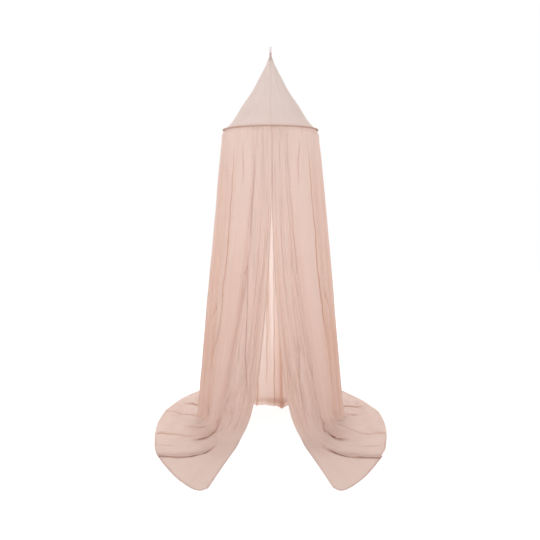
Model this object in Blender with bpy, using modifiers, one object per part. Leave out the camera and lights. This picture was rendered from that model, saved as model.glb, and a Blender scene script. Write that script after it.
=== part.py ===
"""Mosquito net canopy with its hoop: a hanging loop, a cone, a hoop in its casing and one long drape.

Metres, +Z up. The origin is the point that the ceiling hook holds, at the top of the loop, and the
drape's opening faces -Y. "Forward" in the tables means towards -Y, "out" means away from x = 0.
"""

import math

import bpy
from mathutils import Vector

# ---- Driving dimensions -------------------------------------------------------------------------
HANG_HEIGHT = 1.953  # floor to the top of the loop
HOOP_HEIGHT = 1.516  # floor to the hoop
CONE_TIP_HEIGHT = 1.898
HOOP_RADIUS = 0.2455  # to the middle of the wire
WIRE_RADIUS = 0.003
CLOTH = 0.0015  # thickness of cone and drape
CASING_CLOTH = 0.0012
SEAM_GAP = 0.0003  # between pieces that are sewn or fitted together
ROUND_SIDES = 40

TAPE_WIDTH = 0.011
TAPE_THICKNESS = 0.0014
TAPE_LEG_GAP = 0.001  # between the two legs of the loop
TAPE_TUCK = 0.020  # length of the legs inside the cone
EYE_HALF_WIDTH = 0.0075
EYE_HEIGHT = 0.034

LIP_LENGTH = 0.0065  # flat part of the casing, towards the axis
LIP_GAP = 0.0012  # between the two lips
LIP_STACK = LIP_GAP / 2.0 + CASING_CLOTH + SEAM_GAP  # from the hoop's plane to what is sewn to a lip
CASING_ARC_STEPS = 9

# Cone, as radius against height above the floor: it dips inwards a little below its tip.
CONE_PROFILE = (
    ("radius", "height"),
    (0.0069, 1.898),
    (0.0180, 1.868),
    (0.0520, 1.799),
    (0.0960, 1.716),
    (0.1470, 1.641),
    (0.1900, 1.570),
    (0.2160, 1.538),
    (0.2368, HOOP_HEIGHT + LIP_STACK + 0.0006),
)

# Drape. A row is one line of cloth from the hoop to its hem: where it leaves the hoop, how late it
# swings outwards (drop), where it meets the floor (foot), the point that steers it along the floor
# (via), where it ends or folds under (rim), how softly it bends at the floor, how much is folded under.
DRAPE_TOP_RADIUS = 0.2395
DRAPE_TOP_HEIGHT = HOOP_HEIGHT - LIP_STACK - 0.0002
TOP_FLARE = 0.0085  # the cloth stands out a little just below the hoop
TOP_FLARE_START = 0.005  # as shares of the drop
TOP_FLARE_END = 0.018
CLOTH_HALF = 2.00  # front edge to the middle of the back, along the hem
GUIDE_COLUMNS = (
    "cloth", "bearing", "drop", "foot_out", "foot_fwd", "via_out", "via_fwd", "rim_out", "rim_fwd", "bend", "under",
)
LEFT_GUIDES = (
    (0.00, -2.0, 2.30, 0.102, 0.150, 0.158, 0.330, 0.250, 0.808, 0.170, 0.000),
    (0.04, 1.0, 2.25, 0.116, 0.165, 0.186, 0.350, 0.281, 0.832, 0.165, 0.000),
    (0.14, 5.0, 2.20, 0.150, 0.195, 0.240, 0.400, 0.362, 0.752, 0.150, 0.000),
    (0.29, 10.0, 2.00, 0.200, 0.212, 0.290, 0.430, 0.457, 0.585, 0.130, 0.000),
    (0.40, 13.5, 1.90, 0.234, 0.202, 0.275, 0.440, 0.500, 0.490, 0.110, 0.000),
    (0.50, 16.0, 1.85, 0.254, 0.178, 0.295, 0.435, 0.522, 0.440, 0.095, 0.000),
    (0.60, 18.5, 1.80, 0.270, 0.145, 0.305, 0.400, 0.547, 0.325, 0.080, 0.000),
    (0.70, 21.0, 1.70, 0.280, 0.110, 0.310, 0.340, 0.568, 0.175, 0.070, 0.030),
    (0.86, 42.0, 1.25, 0.318, 0.065, 0.400, 0.130, 0.579, 0.040, 0.060, 0.056),
    (1.02, 64.0, 1.10, 0.330, 0.005, 0.425, -0.020, 0.574, -0.110, 0.050, 0.056),
    (1.18, 88.0, 0.98, 0.388, -0.060, 0.455, -0.130, 0.545, -0.250, 0.045, 0.056),
    (1.36, 110.0, 1.00, 0.350, -0.165, 0.430, -0.270, 0.482, -0.445, 0.050, 0.020),
    (1.56, 132.0, 1.00, 0.255, -0.220, 0.330, -0.400, 0.385, -0.625, 0.050, 0.000),
    (1.78, 156.0, 1.00, 0.130, -0.248, 0.190, -0.480, 0.205, -0.760, 0.045, 0.000),
)
BACK_GUIDE = (2.00, 180.0, 1.00, 0.000, -0.252, 0.000, -0.530, 0.000, -0.815, 0.040, 0.000)
RIGHT_GUIDES = (
    (0.00, 1.0, 2.50, 0.106, 0.145, 0.160, 0.320, 0.252, 0.806, 0.170, 0.000),
    (0.04, 3.0, 2.35, 0.120, 0.160, 0.186, 0.345, 0.279, 0.831, 0.165, 0.000),
    (0.14, 6.0, 2.20, 0.155, 0.190, 0.240, 0.400, 0.362, 0.748, 0.150, 0.000),
    (0.29, 11.0, 2.00, 0.205, 0.207, 0.290, 0.425, 0.455, 0.580, 0.130, 0.000),
    (0.40, 13.5, 1.90, 0.238, 0.197, 0.280, 0.430, 0.496, 0.490, 0.110, 0.000),
    (0.50, 15.5, 1.85, 0.257, 0.173, 0.298, 0.425, 0.518, 0.435, 0.095, 0.000),
    (0.60, 17.5, 1.75, 0.272, 0.140, 0.310, 0.390, 0.546, 0.325, 0.080, 0.000),
    (0.70, 19.5, 1.60, 0.282, 0.105, 0.315, 0.335, 0.573, 0.170, 0.070, 0.030),
    (0.86, 42.0, 1.25, 0.320, 0.060, 0.405, 0.120, 0.587, 0.030, 0.060, 0.056),
    (1.02, 64.0, 1.10, 0.338, 0.000, 0.430, -0.030, 0.586, -0.105, 0.050, 0.056),
    (1.18, 88.0, 0.98, 0.388, -0.065, 0.465, -0.130, 0.555, -0.226, 0.045, 0.056),
    (1.36, 110.0, 1.00, 0.355, -0.165, 0.430, -0.260, 0.500, -0.400, 0.050, 0.020),
    (1.56, 132.0, 1.00, 0.260, -0.220, 0.335, -0.395, 0.405, -0.600, 0.050, 0.000),
    (1.78, 156.0, 1.00, 0.135, -0.248, 0.195, -0.480, 0.225, -0.740, 0.045, 0.000),
)

# Folds. A row is one valley: its place and half width along the hem, its depth at the hoop, halfway
# and at the floor, how far it is laid over itself there as a share of its half width (hanging and on
# the floor), how high its outer side lies on its inner side on the floor, and the part of the trail
# that it crosses.
FOLD_COLUMNS = ("cloth", "half", "top", "middle", "foot", "lap_hang", "lap_floor", "lift", "reach")
LEFT_FOLDS = (
    (0.40, 0.085, 0.000, 0.000, 0.000, 0.00, 0.75, 0.014, 9.00),
    (0.53, 0.050, 0.002, 0.008, 0.006, 0.00, 0.00, 0.000, 0.20),
    (0.69, 0.070, 0.003, 0.016, 0.032, 0.22, 0.60, 0.013, 0.70),
    (1.02, 0.055, 0.003, 0.014, 0.022, 0.22, 0.15, 0.004, 0.35),
    (1.10, 0.040, 0.001, 0.010, 0.008, 0.00, 0.00, 0.000, 0.20),
    (1.30, 0.080, 0.002, 0.016, 0.030, 0.00, 0.00, 0.000, 0.45),
    (1.52, 0.090, 0.002, 0.018, 0.030, 0.00, 0.00, 0.000, 0.55),
    (1.74, 0.080, 0.002, 0.014, 0.026, 0.00, 0.00, 0.000, 0.50),
)
RIGHT_FOLDS = (
    (0.40, 0.080, 0.000, 0.000, 0.000, 0.00, 0.75, 0.014, 9.00),
    (0.54, 0.045, 0.001, 0.009, 0.006, 0.00, 0.00, 0.000, 0.20),
    (0.69, 0.070, 0.003, 0.015, 0.030, 0.22, 0.60, 0.013, 0.70),
    (1.02, 0.055, 0.003, 0.013, 0.022, 0.22, 0.15, 0.004, 0.35),
    (1.10, 0.040, 0.001, 0.010, 0.008, 0.00, 0.00, 0.000, 0.20),
    (1.28, 0.075, 0.002, 0.015, 0.030, 0.00, 0.00, 0.000, 0.45),
    (1.50, 0.090, 0.002, 0.019, 0.030, 0.00, 0.00, 0.000, 0.55),
    (1.70, 0.075, 0.002, 0.012, 0.022, 0.00, 0.00, 0.000, 0.50),
    (1.90, 0.055, 0.002, 0.020, 0.030, 0.22, 0.00, 0.000, 0.50),
)

TAIL_LENGTH = 0.09  # last stretch of the trail, where the rows of the mesh lie closer
FOLD_UNDER_RADIUS = 0.007
UNDER_START = 0.045  # from this length on, the rolled edge has its whole height
UNDER_EASE = 0.06  # stretch over which the cloth comes down behind the rolled edge
HANG_ROWS = (0.0, 0.007, 0.019, 0.07, 0.17, 0.29, 0.42, 0.55, 0.68, 0.80, 0.91, 1.0)
BEND_ROWS = (0.25, 0.5, 0.75, 1.0)
FLOOR_ROWS = (0.25, 0.5, 0.75, 1.0)
TAIL_ROWS = (0.2, 0.4, 0.6, 0.8, 1.0)
FOLD_STEPS = (-1.0, -0.66, -0.36, 0.0, 0.36, 0.66, 1.0)
PLAIN_STEPS = (-1.0, -0.5, 0.0, 0.5, 1.0)
WIDEST_STEP = 0.11  # between columns of the mesh, along the hem
LEAST_STEP = 0.019
EDGE_TUCK = 0.0045  # near the hoop the right front edge lies this far behind the left one
TUCK_CLOTH = 0.16
TUCK_FALL = (0.25, 0.50)  # shares of the drop between which the two edges part
VALLEY_END = 0.20  # shares of the trail: valleys flatten up to here, then the laps form
LAP_START = 0.14
LAP_END = 0.62
LIFT_RUN = 0.10  # cloth over which the upper layer of a lapped fold comes down again

COLLECTION = "mosquito_net_canopy"


# ---- Small helpers ------------------------------------------------------------------------------
def ease(share):
    """0 to 1 with flat ends."""
    share = min(max(share, 0.0), 1.0)
    return share * share * (3.0 - 2.0 * share)


def rows_of(columns, rows):
    return [dict(zip(columns, row)) for row in rows]


def slopes_of(xs, ys):
    """Slopes of a smooth curve through the points that never overshoots them."""
    steps = [(y1 - y0) / (x1 - x0) for x0, x1, y0, y1 in zip(xs, xs[1:], ys, ys[1:])]
    inner = [2.0 * a * b / (a + b) if a * b > 0.0 else 0.0 for a, b in zip(steps, steps[1:])]
    return [steps[0]] + inner + [steps[-1]]


def curve_through(xs, ys):
    """A function of x that runs smoothly through the points."""
    slopes = slopes_of(xs, ys)

    def value(x):
        i = max(k for k in range(len(xs) - 1) if k == 0 or xs[k] <= x)
        width = xs[i + 1] - xs[i]
        t = (x - xs[i]) / width
        return (
            ys[i] * (1.0 + 2.0 * t) * (1.0 - t) ** 2
            + slopes[i] * width * t * (1.0 - t) ** 2
            + ys[i + 1] * t * t * (3.0 - 2.0 * t)
            + slopes[i + 1] * width * t * t * (t - 1.0)
        )

    return value


def above_floor(height):
    """z of a height above the floor."""
    return height - HANG_HEIGHT


# ---- The drape's surface ------------------------------------------------------------------------
def all_guides():
    """The guides from the left front edge, round the back, to the right front edge, with signed x."""
    guides = []
    sides = ((-1.0, LEFT_GUIDES + (BACK_GUIDE,)), (1.0, RIGHT_GUIDES[::-1]))
    for side, rows in sides:
        for guide in rows_of(GUIDE_COLUMNS, rows):
            placed = {name: guide[name] for name in ("drop", "foot_fwd", "via_fwd", "rim_fwd", "bend", "under")}
            placed["cloth"] = guide["cloth"] if side < 0.0 else 2.0 * CLOTH_HALF - guide["cloth"]
            placed["bearing"] = -guide["bearing"] if side < 0.0 else guide["bearing"] - 360.0
            for place in ("foot", "via", "rim"):
                placed[place + "_x"] = side * guide[place + "_out"]
            guides.append(placed)
    return guides


def all_folds():
    """The folds of both sides, placed along the whole hem, with the side that lies on top."""
    folds = []
    for fold in rows_of(FOLD_COLUMNS, LEFT_FOLDS):
        folds.append({**fold, "turn": 1.0})
    for fold in rows_of(FOLD_COLUMNS, RIGHT_FOLDS):
        folds.append({**fold, "cloth": 2.0 * CLOTH_HALF - fold["cloth"], "turn": -1.0})
    return folds


GUIDES = all_guides()
FOLDS = all_folds()
CURVES = {
    name: curve_through([guide["cloth"] for guide in GUIDES], [guide[name] for guide in GUIDES])
    for name in GUIDES[0]
    if name != "cloth"
}


def trail_path(line):
    """The plan of one line of cloth on the floor: points and the lengths up to them."""
    start = Vector((line["foot_x"], -line["foot_fwd"]))
    via = Vector((line["via_x"], -line["via_fwd"]))
    end = Vector((line["rim_x"], -line["rim_fwd"]))
    count = 24
    points = []
    for k in range(count + 1):
        t = k / count
        points.append(start * (1.0 - t) ** 2 + via * (2.0 * t * (1.0 - t)) + end * t * t)
    lengths = [0.0]
    for a, b in zip(points, points[1:]):
        lengths.append(lengths[-1] + (b - a).length)
    return points, lengths


def at_length(path, length):
    """The plan point this far along the path, straight on past either end."""
    points, lengths = path
    k = 0
    while k < len(lengths) - 2 and lengths[k + 1] < length:
        k += 1
    share = (length - lengths[k]) / (lengths[k + 1] - lengths[k])
    return points[k].lerp(points[k + 1], share)


def hanging_point(line, height):
    fallen = 1.0 - height / HOOP_HEIGHT
    bearing = math.radians(line["bearing"])
    top = Vector((math.sin(bearing), -math.cos(bearing))) * DRAPE_TOP_RADIUS
    foot = Vector((line["foot_x"], -line["foot_fwd"]))
    flare = TOP_FLARE * ease((fallen - TOP_FLARE_START) / (TOP_FLARE_END - TOP_FLARE_START)) * (1.0 - fallen)
    plan = top.lerp(foot, fallen ** line["drop"]) + top.normalized() * flare
    return Vector((plan.x, plan.y, height))


def turn_under(line):
    """How far the turned-under edge has risen (0 to 1) and the length of cloth from where it turns."""
    risen = ease(line["under"] / UNDER_START)
    return risen, FOLD_UNDER_RADIUS * math.pi / 2.0 * risen + max(line["under"] - UNDER_START, 0.0)


def floor_point(line, path, length):
    """The point this far along the trail, over the rim and back underneath where it is turned under."""
    total = path[1][-1]
    risen, _ = turn_under(line)
    radius = FOLD_UNDER_RADIUS
    rest = CLOTH / 2.0
    turn_start = total - radius * risen
    turned = (length - turn_start) / radius
    if turned <= 0.0:
        behind = total - length - line["under"]
        raised = risen * (1.0 - ease(behind / UNDER_EASE))
        plan = at_length(path, length)
        return Vector((plan.x, plan.y, rest + 2.0 * radius * raised))
    if turned < math.pi:
        plan = at_length(path, turn_start + radius * math.sin(turned))
        return Vector((plan.x, plan.y, rest + risen * radius * (1.0 + math.cos(turned))))
    plan = at_length(path, turn_start - (turned - math.pi) * radius)
    return Vector((plan.x, plan.y, rest))


def base_column(cloth):
    """One line of cloth without its folds: points with how far each has fallen and trailed."""
    line = {name: curve(cloth) for name, curve in CURVES.items()}
    path = trail_path(line)
    total = path[1][-1]
    bend = line["bend"]
    points = []
    for share in HANG_ROWS:
        height = DRAPE_TOP_HEIGHT + (bend - DRAPE_TOP_HEIGHT) * share
        points.append((hanging_point(line, height), 1.0 - height / HOOP_HEIGHT, 0.0))
    start = hanging_point(line, bend)
    middle = hanging_point(line, CLOTH / 2.0)
    end = floor_point(line, path, bend)
    for share in BEND_ROWS:
        curved = start * (1.0 - share) ** 2 + middle * (2.0 * share * (1.0 - share)) + end * share**2
        points.append((curved, 1.0, bend * share**2 / total))
    risen, turned_length = turn_under(line)
    turn_start = total - FOLD_UNDER_RADIUS * risen
    tail_start = turn_start - TAIL_LENGTH * (1.0 - risen)
    tail_end = turn_start + turned_length
    for share in FLOOR_ROWS:
        length = bend + (tail_start - bend) * share
        points.append((floor_point(line, path, length), 1.0, length / total))
    for share in TAIL_ROWS:
        # On a turned-under edge the rows lie close round the turn.
        length = tail_start + (tail_end - tail_start) * share ** (1.0 + 0.7 * risen)
        points.append((floor_point(line, path, length), 1.0, min(length / total, 1.0)))
    return points


def fold_shift(cloth, fallen, trailed, stretch):
    """(along, out): how the folds move the cloth along its width and out of its surface."""
    along = 0.0
    parted = ease((fallen - TUCK_FALL[0]) / (TUCK_FALL[1] - TUCK_FALL[0]))
    out = -EDGE_TUCK * (1.0 - ease((2.0 * CLOTH_HALF - cloth) / TUCK_CLOTH)) * (1.0 - parted)
    on_floor = ease(trailed / VALLEY_END)
    laid = ease((trailed - LAP_START) / (LAP_END - LAP_START))
    for fold in FOLDS:
        place = (cloth - fold["cloth"]) / fold["half"]
        inside = abs(place) < 1.0
        half = fold["half"] * stretch
        upper = fold["top"] + (fold["middle"] - fold["top"]) * min(fallen / 0.5, 1.0)
        lower = (fold["foot"] - fold["middle"]) * max(fallen - 0.5, 0.0) / 0.5
        fading = 1.0 - ease(trailed / fold["reach"])
        lap_hang = fold["lap_hang"] * ease(fallen / 0.6)
        lap = lap_hang + (fold["lap_floor"] - lap_hang) * laid
        lift = fold["lift"] * fading * ease(1.6 * lap / max(fold["lap_hang"], fold["lap_floor"], 0.01))
        if inside:
            along -= lap * fading * half * math.sin(math.pi * place)
            out -= (upper + lower) * (1.0 - on_floor) * 0.5 * (1.0 + math.cos(math.pi * place))
        if lift > 0.0:
            side = place * fold["turn"]
            out += lift * ease(0.5 * (side + 1.0)) * (1.0 - ease((side - 1.0) * fold["half"] / LIFT_RUN))
    return along, out


def column_places():
    """Where the mesh has its columns: close together in each fold, and nowhere wider than WIDEST_STEP."""
    places = {0.0, 2.0 * CLOTH_HALF}
    for fold in FOLDS:
        steps = FOLD_STEPS if fold["lap_hang"] + fold["lap_floor"] > 0.0 else PLAIN_STEPS
        for step in steps:
            places.add(round(fold["cloth"] + step * fold["half"], 4))
    kept = [0.0]
    for place in sorted(places)[1:]:
        if place - kept[-1] < LEAST_STEP:
            continue
        gap = place - kept[-1]
        fill = math.ceil(gap / WIDEST_STEP)
        kept += [kept[-1] + gap * k / fill for k in range(1, fill)]
        kept.append(place)
    return kept


def drape_columns():
    """The drape's points, column by column."""
    reach = 0.004
    columns = []
    for cloth in column_places():
        before = base_column(max(cloth - reach, 0.0))
        here = base_column(cloth)
        after = base_column(min(cloth + reach, 2.0 * CLOTH_HALF))
        column = []
        for k, (point, fallen, trailed) in enumerate(here):
            width = after[k][0] - before[k][0]
            step = min(cloth + reach, 2.0 * CLOTH_HALF) - max(cloth - reach, 0.0)
            down = here[min(k + 1, len(here) - 1)][0] - here[max(k - 1, 0)][0]
            outward = width.cross(down)
            if outward.length > 0.0:
                outward.normalize()
            along, out = fold_shift(cloth, fallen, trailed, width.length / step)
            if trailed > 0.5:
                out *= ease(outward.z)  # the layer turned under lies flat
            moved = point + width.normalized() * along + outward * out
            moved.z = max(moved.z, CLOTH / 2.0)
            moved.z = above_floor(moved.z)
            column.append(moved)
        columns.append(column)
    return columns


# ---- Building -----------------------------------------------------------------------------------
def clear_scene():
    for old in list(bpy.data.objects):
        bpy.data.objects.remove(old, do_unlink=True)


def material(name, colour, roughness, metallic=0.0):
    made = bpy.data.materials.new(name)
    made.use_nodes = True
    surface = made.node_tree.nodes["Principled BSDF"]
    surface.inputs["Base Color"].default_value = (*colour, 1.0)
    surface.inputs["Roughness"].default_value = roughness
    surface.inputs["Metallic"].default_value = metallic
    return made


def add_object(name, mesh, finish, collection):
    made = bpy.data.objects.new(name, mesh)
    mesh.materials.append(finish)
    mesh.shade_smooth()
    collection.objects.link(made)
    return made


def thicken(made, thickness):
    """Gives a surface its thickness, half to each side."""
    solid = made.modifiers.new("thickness", "SOLIDIFY")
    solid.thickness = thickness
    solid.offset = 0.0
    solid.use_even_offset = False
    return made


def sheet_mesh(name, columns):
    """A surface through columns of points, with its outer side facing out."""
    rows = len(columns[0])
    points = [point for column in columns for point in column]
    faces = []
    for i in range(len(columns) - 1):
        for j in range(rows - 1):
            a = i * rows + j
            faces.append((a, a + 1, a + rows + 1, a + rows))
    mesh = bpy.data.meshes.new(name)
    mesh.from_pydata(points, [], faces)
    return mesh


def profile_mesh(name, profile):
    """A chain of edges in the plane y = 0, to be turned round the z axis."""
    mesh = bpy.data.meshes.new(name)
    points = [(radius, 0.0, z) for radius, z in profile]
    edges = [(k, k + 1) for k in range(len(points) - 1)]
    mesh.from_pydata(points, edges, [])
    return mesh


def turn(made):
    """Turns a profile once round the z axis."""
    screw = made.modifiers.new("turn", "SCREW")
    screw.axis = "Z"
    screw.angle = 2.0 * math.pi
    screw.steps = ROUND_SIDES
    screw.render_steps = ROUND_SIDES
    screw.use_smooth_shade = True
    return made


def build_hanging_loop(collection):
    """A flat tape: up one leg, round the eye and down the other leg."""
    leg = (TAPE_LEG_GAP + TAPE_THICKNESS) / 2.0
    low = above_floor(CONE_TIP_HEIGHT) - TAPE_TUCK
    neck = -EYE_HEIGHT
    top = -TAPE_THICKNESS / 2.0
    half = [(leg, low), (leg, (low + neck) / 2.0), (leg, neck)]
    steps = 7
    for k in range(1, steps + 1):
        t = k / steps
        side = leg * (1.0 - t) + EYE_HALF_WIDTH * math.sin(math.pi * t**1.3)
        half.append((side, neck + (top - neck) * math.sin(math.pi * t / 2.0)))
    path = half + [(-side, height) for side, height in half[-2::-1]]
    edge = TAPE_WIDTH / 2.0
    columns = [[Vector((x, side, height)) for side, height in path] for x in (-edge, edge)]
    made = add_object("hanging_loop", sheet_mesh("hanging_loop", columns), TAPE_FINISH, collection)
    return thicken(made, TAPE_THICKNESS)


def build_cone(collection):
    profile = [(radius, above_floor(height)) for radius, height in CONE_PROFILE[1:]]
    made = add_object("cone_top", profile_mesh("cone_top", profile), CONE_FINISH, collection)
    return thicken(turn(made), CLOTH)


def build_hoop(collection):
    bpy.ops.mesh.primitive_torus_add(
        major_radius=HOOP_RADIUS,
        minor_radius=WIRE_RADIUS,
        major_segments=ROUND_SIDES,
        minor_segments=8,
        location=(0.0, 0.0, above_floor(HOOP_HEIGHT)),
    )
    made = bpy.context.object
    made.name = "hoop"
    made.data.name = "hoop"
    made.data.materials.append(HOOP_FINISH)
    made.data.shade_smooth()
    for home in list(made.users_collection):
        home.objects.unlink(made)
    collection.objects.link(made)
    return made


def build_hoop_casing(collection):
    """A strip folded round the wire, its two lips pointing to the axis with a slit between them."""
    lip = (LIP_GAP + CASING_CLOTH) / 2.0
    radius = WIRE_RADIUS + SEAM_GAP + CASING_CLOTH / 2.0
    reach = math.pi - math.asin(lip / radius)
    radius /= math.cos(reach / CASING_ARC_STEPS)
    reach = math.pi - math.asin(lip / radius)
    middle = above_floor(HOOP_HEIGHT)
    profile = []
    for k in range(CASING_ARC_STEPS + 1):
        angle = reach - 2.0 * reach * k / CASING_ARC_STEPS
        profile.append((HOOP_RADIUS + radius * math.cos(angle), middle + radius * math.sin(angle)))
    inner = profile[0][0] - LIP_LENGTH
    profile = [(inner, middle + lip)] + profile + [(inner, middle - lip)]
    made = add_object("hoop_casing", profile_mesh("hoop_casing", profile), CASING_FINISH, collection)
    return thicken(turn(made), CASING_CLOTH)


def build_drape(collection):
    made = add_object("drape", sheet_mesh("drape", drape_columns()), DRAPE_FINISH, collection)
    return thicken(made, CLOTH)


clear_scene()
CONE_FINISH = material("cone_muslin", (0.76, 0.60, 0.55), 0.9)
DRAPE_FINISH = material("drape_muslin", (0.72, 0.50, 0.41), 0.9)
CASING_FINISH = material("casing_muslin", (0.48, 0.30, 0.24), 0.9)
TAPE_FINISH = material("cotton_tape", (0.68, 0.50, 0.49), 0.85)
HOOP_FINISH = material("coated_wire", (0.80, 0.78, 0.74), 0.4)
canopy = bpy.data.collections.new(COLLECTION)
bpy.context.scene.collection.children.link(canopy)
build_hanging_loop(canopy)
build_cone(canopy)
build_hoop(canopy)
build_hoop_casing(canopy)
build_drape(canopy)
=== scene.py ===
# %% [markdown]
# # Mosquito net canopy with hoop
# The real thing is thin cotton muslin: a pointed cone, a wire hoop sewn into a narrow casing, and one
# long drape that is open at the front and spreads over the floor. The solids already have its size
# and its main folds. This script adds what only the eye needs: thinner cloth, finer folds, seams,
# hems, stitches and the woven finish.

# %% Load the frame
import math

import bmesh
import bpy
import numpy as np
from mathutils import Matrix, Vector


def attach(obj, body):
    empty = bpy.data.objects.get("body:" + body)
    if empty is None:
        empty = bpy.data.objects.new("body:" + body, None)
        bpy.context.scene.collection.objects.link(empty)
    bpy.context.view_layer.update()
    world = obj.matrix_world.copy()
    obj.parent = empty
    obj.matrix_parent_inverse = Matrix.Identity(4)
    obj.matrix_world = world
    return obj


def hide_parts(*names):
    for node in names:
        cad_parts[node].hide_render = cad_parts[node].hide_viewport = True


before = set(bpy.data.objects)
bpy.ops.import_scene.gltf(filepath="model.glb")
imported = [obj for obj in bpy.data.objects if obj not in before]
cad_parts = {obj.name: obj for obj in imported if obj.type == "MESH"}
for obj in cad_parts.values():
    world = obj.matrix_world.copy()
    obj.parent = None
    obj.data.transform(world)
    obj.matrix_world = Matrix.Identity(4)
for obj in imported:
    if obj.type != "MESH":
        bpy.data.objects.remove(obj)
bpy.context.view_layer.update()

# %% [markdown]
# ## Camera
# The canopy was seen from straight in front, with the camera held level at about two thirds of its
# height. A level camera keeps the upright cloth upright, and a small lens shift moves the frame down
# to the hem, as a view camera does. A tilted camera would make the sides lean.

# %% Camera
HANG_HEIGHT = 1.953  # floor to the top of the loop
EYE_HEIGHT = 1.162
EYE_DISTANCE = 3.5
FRAME_PIXELS = 540
FOCAL_PIXELS = 672.0
SHIFT_PIXELS = (-0.5, -71.6)  # right and up, from the level line of sight to the middle of the frame
SENSOR = 36.0  # mm

lens = bpy.data.cameras.new("camera")
lens.sensor_width = SENSOR
lens.lens = FOCAL_PIXELS * SENSOR / FRAME_PIXELS
lens.shift_x, lens.shift_y = (pixels / FRAME_PIXELS for pixels in SHIFT_PIXELS)
camera = bpy.data.objects.new("camera", lens)
camera.location = (0.0, -EYE_DISTANCE, EYE_HEIGHT - HANG_HEIGHT)
camera.rotation_euler = (math.pi / 2.0, 0.0, 0.0)
bpy.context.scene.collection.objects.link(camera)
bpy.context.scene.camera = camera
print("lens:", round(lens.lens, 1), "mm")

# %% [markdown]
# ## Small helpers
# A smooth step, a smooth curve through a few points and a soft bell do most of the shaping. They work
# on whole arrays at once, because the drape has tens of thousands of points.

# %% Small helpers
def ease(share):
    """0 to 1 with flat ends, for a number or an array."""
    share = np.clip(share, 0.0, 1.0)
    return share * share * (3.0 - 2.0 * share)


def rise(value, start, end):
    """0 up to start, 1 from end on, smooth between."""
    return ease((value - start) / (end - start))


def window(value, low, high, blend):
    """1 between low and high, blending to 0 around both."""
    return ease((value - low) / blend + 0.5) * (1.0 - ease((value - high) / blend + 0.5))


def bell(offset, half):
    """1 in the middle, falling away smoothly to about a third at one half width."""
    return np.exp(-((offset / half) ** 2))


def curve_through(xs, ys, at):
    """A smooth curve through the points that never overshoots them, read at an array of places."""
    xs = np.asarray(xs, float)
    ys = np.asarray(ys, float)
    steps = np.diff(ys) / np.diff(xs)
    both = steps[:-1] * steps[1:]
    total = steps[:-1] + steps[1:]
    inner = np.where(both > 0.0, 2.0 * both / np.where(both > 0.0, total, 1.0), 0.0)
    slopes = np.concatenate([steps[:1], inner, steps[-1:]])
    k = np.clip(np.searchsorted(xs, at, side="right") - 1, 0, len(xs) - 2)
    width = xs[k + 1] - xs[k]
    t = (at - xs[k]) / width
    return (
        ys[k] * (1.0 + 2.0 * t) * (1.0 - t) ** 2
        + slopes[k] * width * t * (1.0 - t) ** 2
        + ys[k + 1] * t * t * (3.0 - 2.0 * t)
        + slopes[k + 1] * width * t * t * (t - 1.0)
    )


def rows_of(table):
    """The rows of a table as dicts, with its first row as the names."""
    return [dict(zip(table[0], row)) for row in table[1:]]


def unit(vectors):
    lengths = np.linalg.norm(vectors, axis=-1, keepdims=True)
    return vectors / np.maximum(lengths, 1e-9)


def lengths_along(points):
    """How far each point lies along its line, for arrays of lines by points by places."""
    steps = np.linalg.norm(np.diff(points, axis=-2), axis=-1)
    return np.concatenate([np.zeros((*steps.shape[:-1], 1)), np.cumsum(steps, axis=-1)], axis=-1)


def round_the_middle(turn, radius, height):
    """Points at these turns round the upright middle line, counted from the front."""
    return np.stack(np.broadcast_arrays(np.sin(turn) * radius, -np.cos(turn) * radius, height), axis=-1)


def link_to_scene(thing):
    bpy.context.scene.collection.objects.link(thing)
    return thing


print("ease(0.5) =", ease(0.5))

# %% [markdown]
# ## Helpers for finishes
# Every finish is a small tree of nodes. One helper makes a node and feeds its inputs: the output of
# another node is linked, and anything else is set as a plain value.

# %% Helpers for finishes
def feed(tree, source, socket):
    """Link another node's output into a socket, or set the socket to a plain value."""
    if isinstance(source, bpy.types.NodeSocket):
        tree.links.new(source, socket)
    else:
        socket.default_value = source


def node(tree, kind, inputs=(), **settings):
    """A new node. Its settings come first, because they decide which inputs it has."""
    made = tree.nodes.new(kind)
    for name, value in settings.items():
        setattr(made, name, value)
    for name, source in dict(inputs).items():
        feed(tree, source, made.inputs[name])
    return made


def maths(tree, operation, *values):
    return node(tree, "ShaderNodeMath", enumerate(values), operation=operation).outputs[0]


def plain_material(name, colour, roughness, specular=0.1):
    made = bpy.data.materials.new(name)
    made.use_nodes = True
    surface = made.node_tree.nodes["Principled BSDF"]
    surface.inputs["Base Color"].default_value = (*colour, 1.0)
    surface.inputs["Roughness"].default_value = roughness
    surface.inputs["Specular IOR Level"].default_value = specular
    return made


def mix_with_surface(tree, share, shader):
    """Show the plain surface with a share of another shader in it."""
    surface = tree.nodes["Principled BSDF"].outputs[0]
    both = node(tree, "ShaderNodeMixShader", {"Fac": share, 1: surface, 2: shader})
    feed(tree, both.outputs[0], tree.nodes["Material Output"].inputs["Surface"])


finish_helpers = (feed, node, maths, plain_material, mix_with_surface)
print("helpers for finishes:", [helper.__name__ for helper in finish_helpers])

# %% [markdown]
# ## Floor and light
# Thin cloth looks like cloth when light reaches it from both sides. So the world is a plain white
# room that lights from everywhere, and four large soft lamps give the folds their direction. The
# floor is a plain pale one. What is seen of it glows a little, as in a studio where the floor has
# lamps of its own, so the canopy's shadow on it stays faint.

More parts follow.
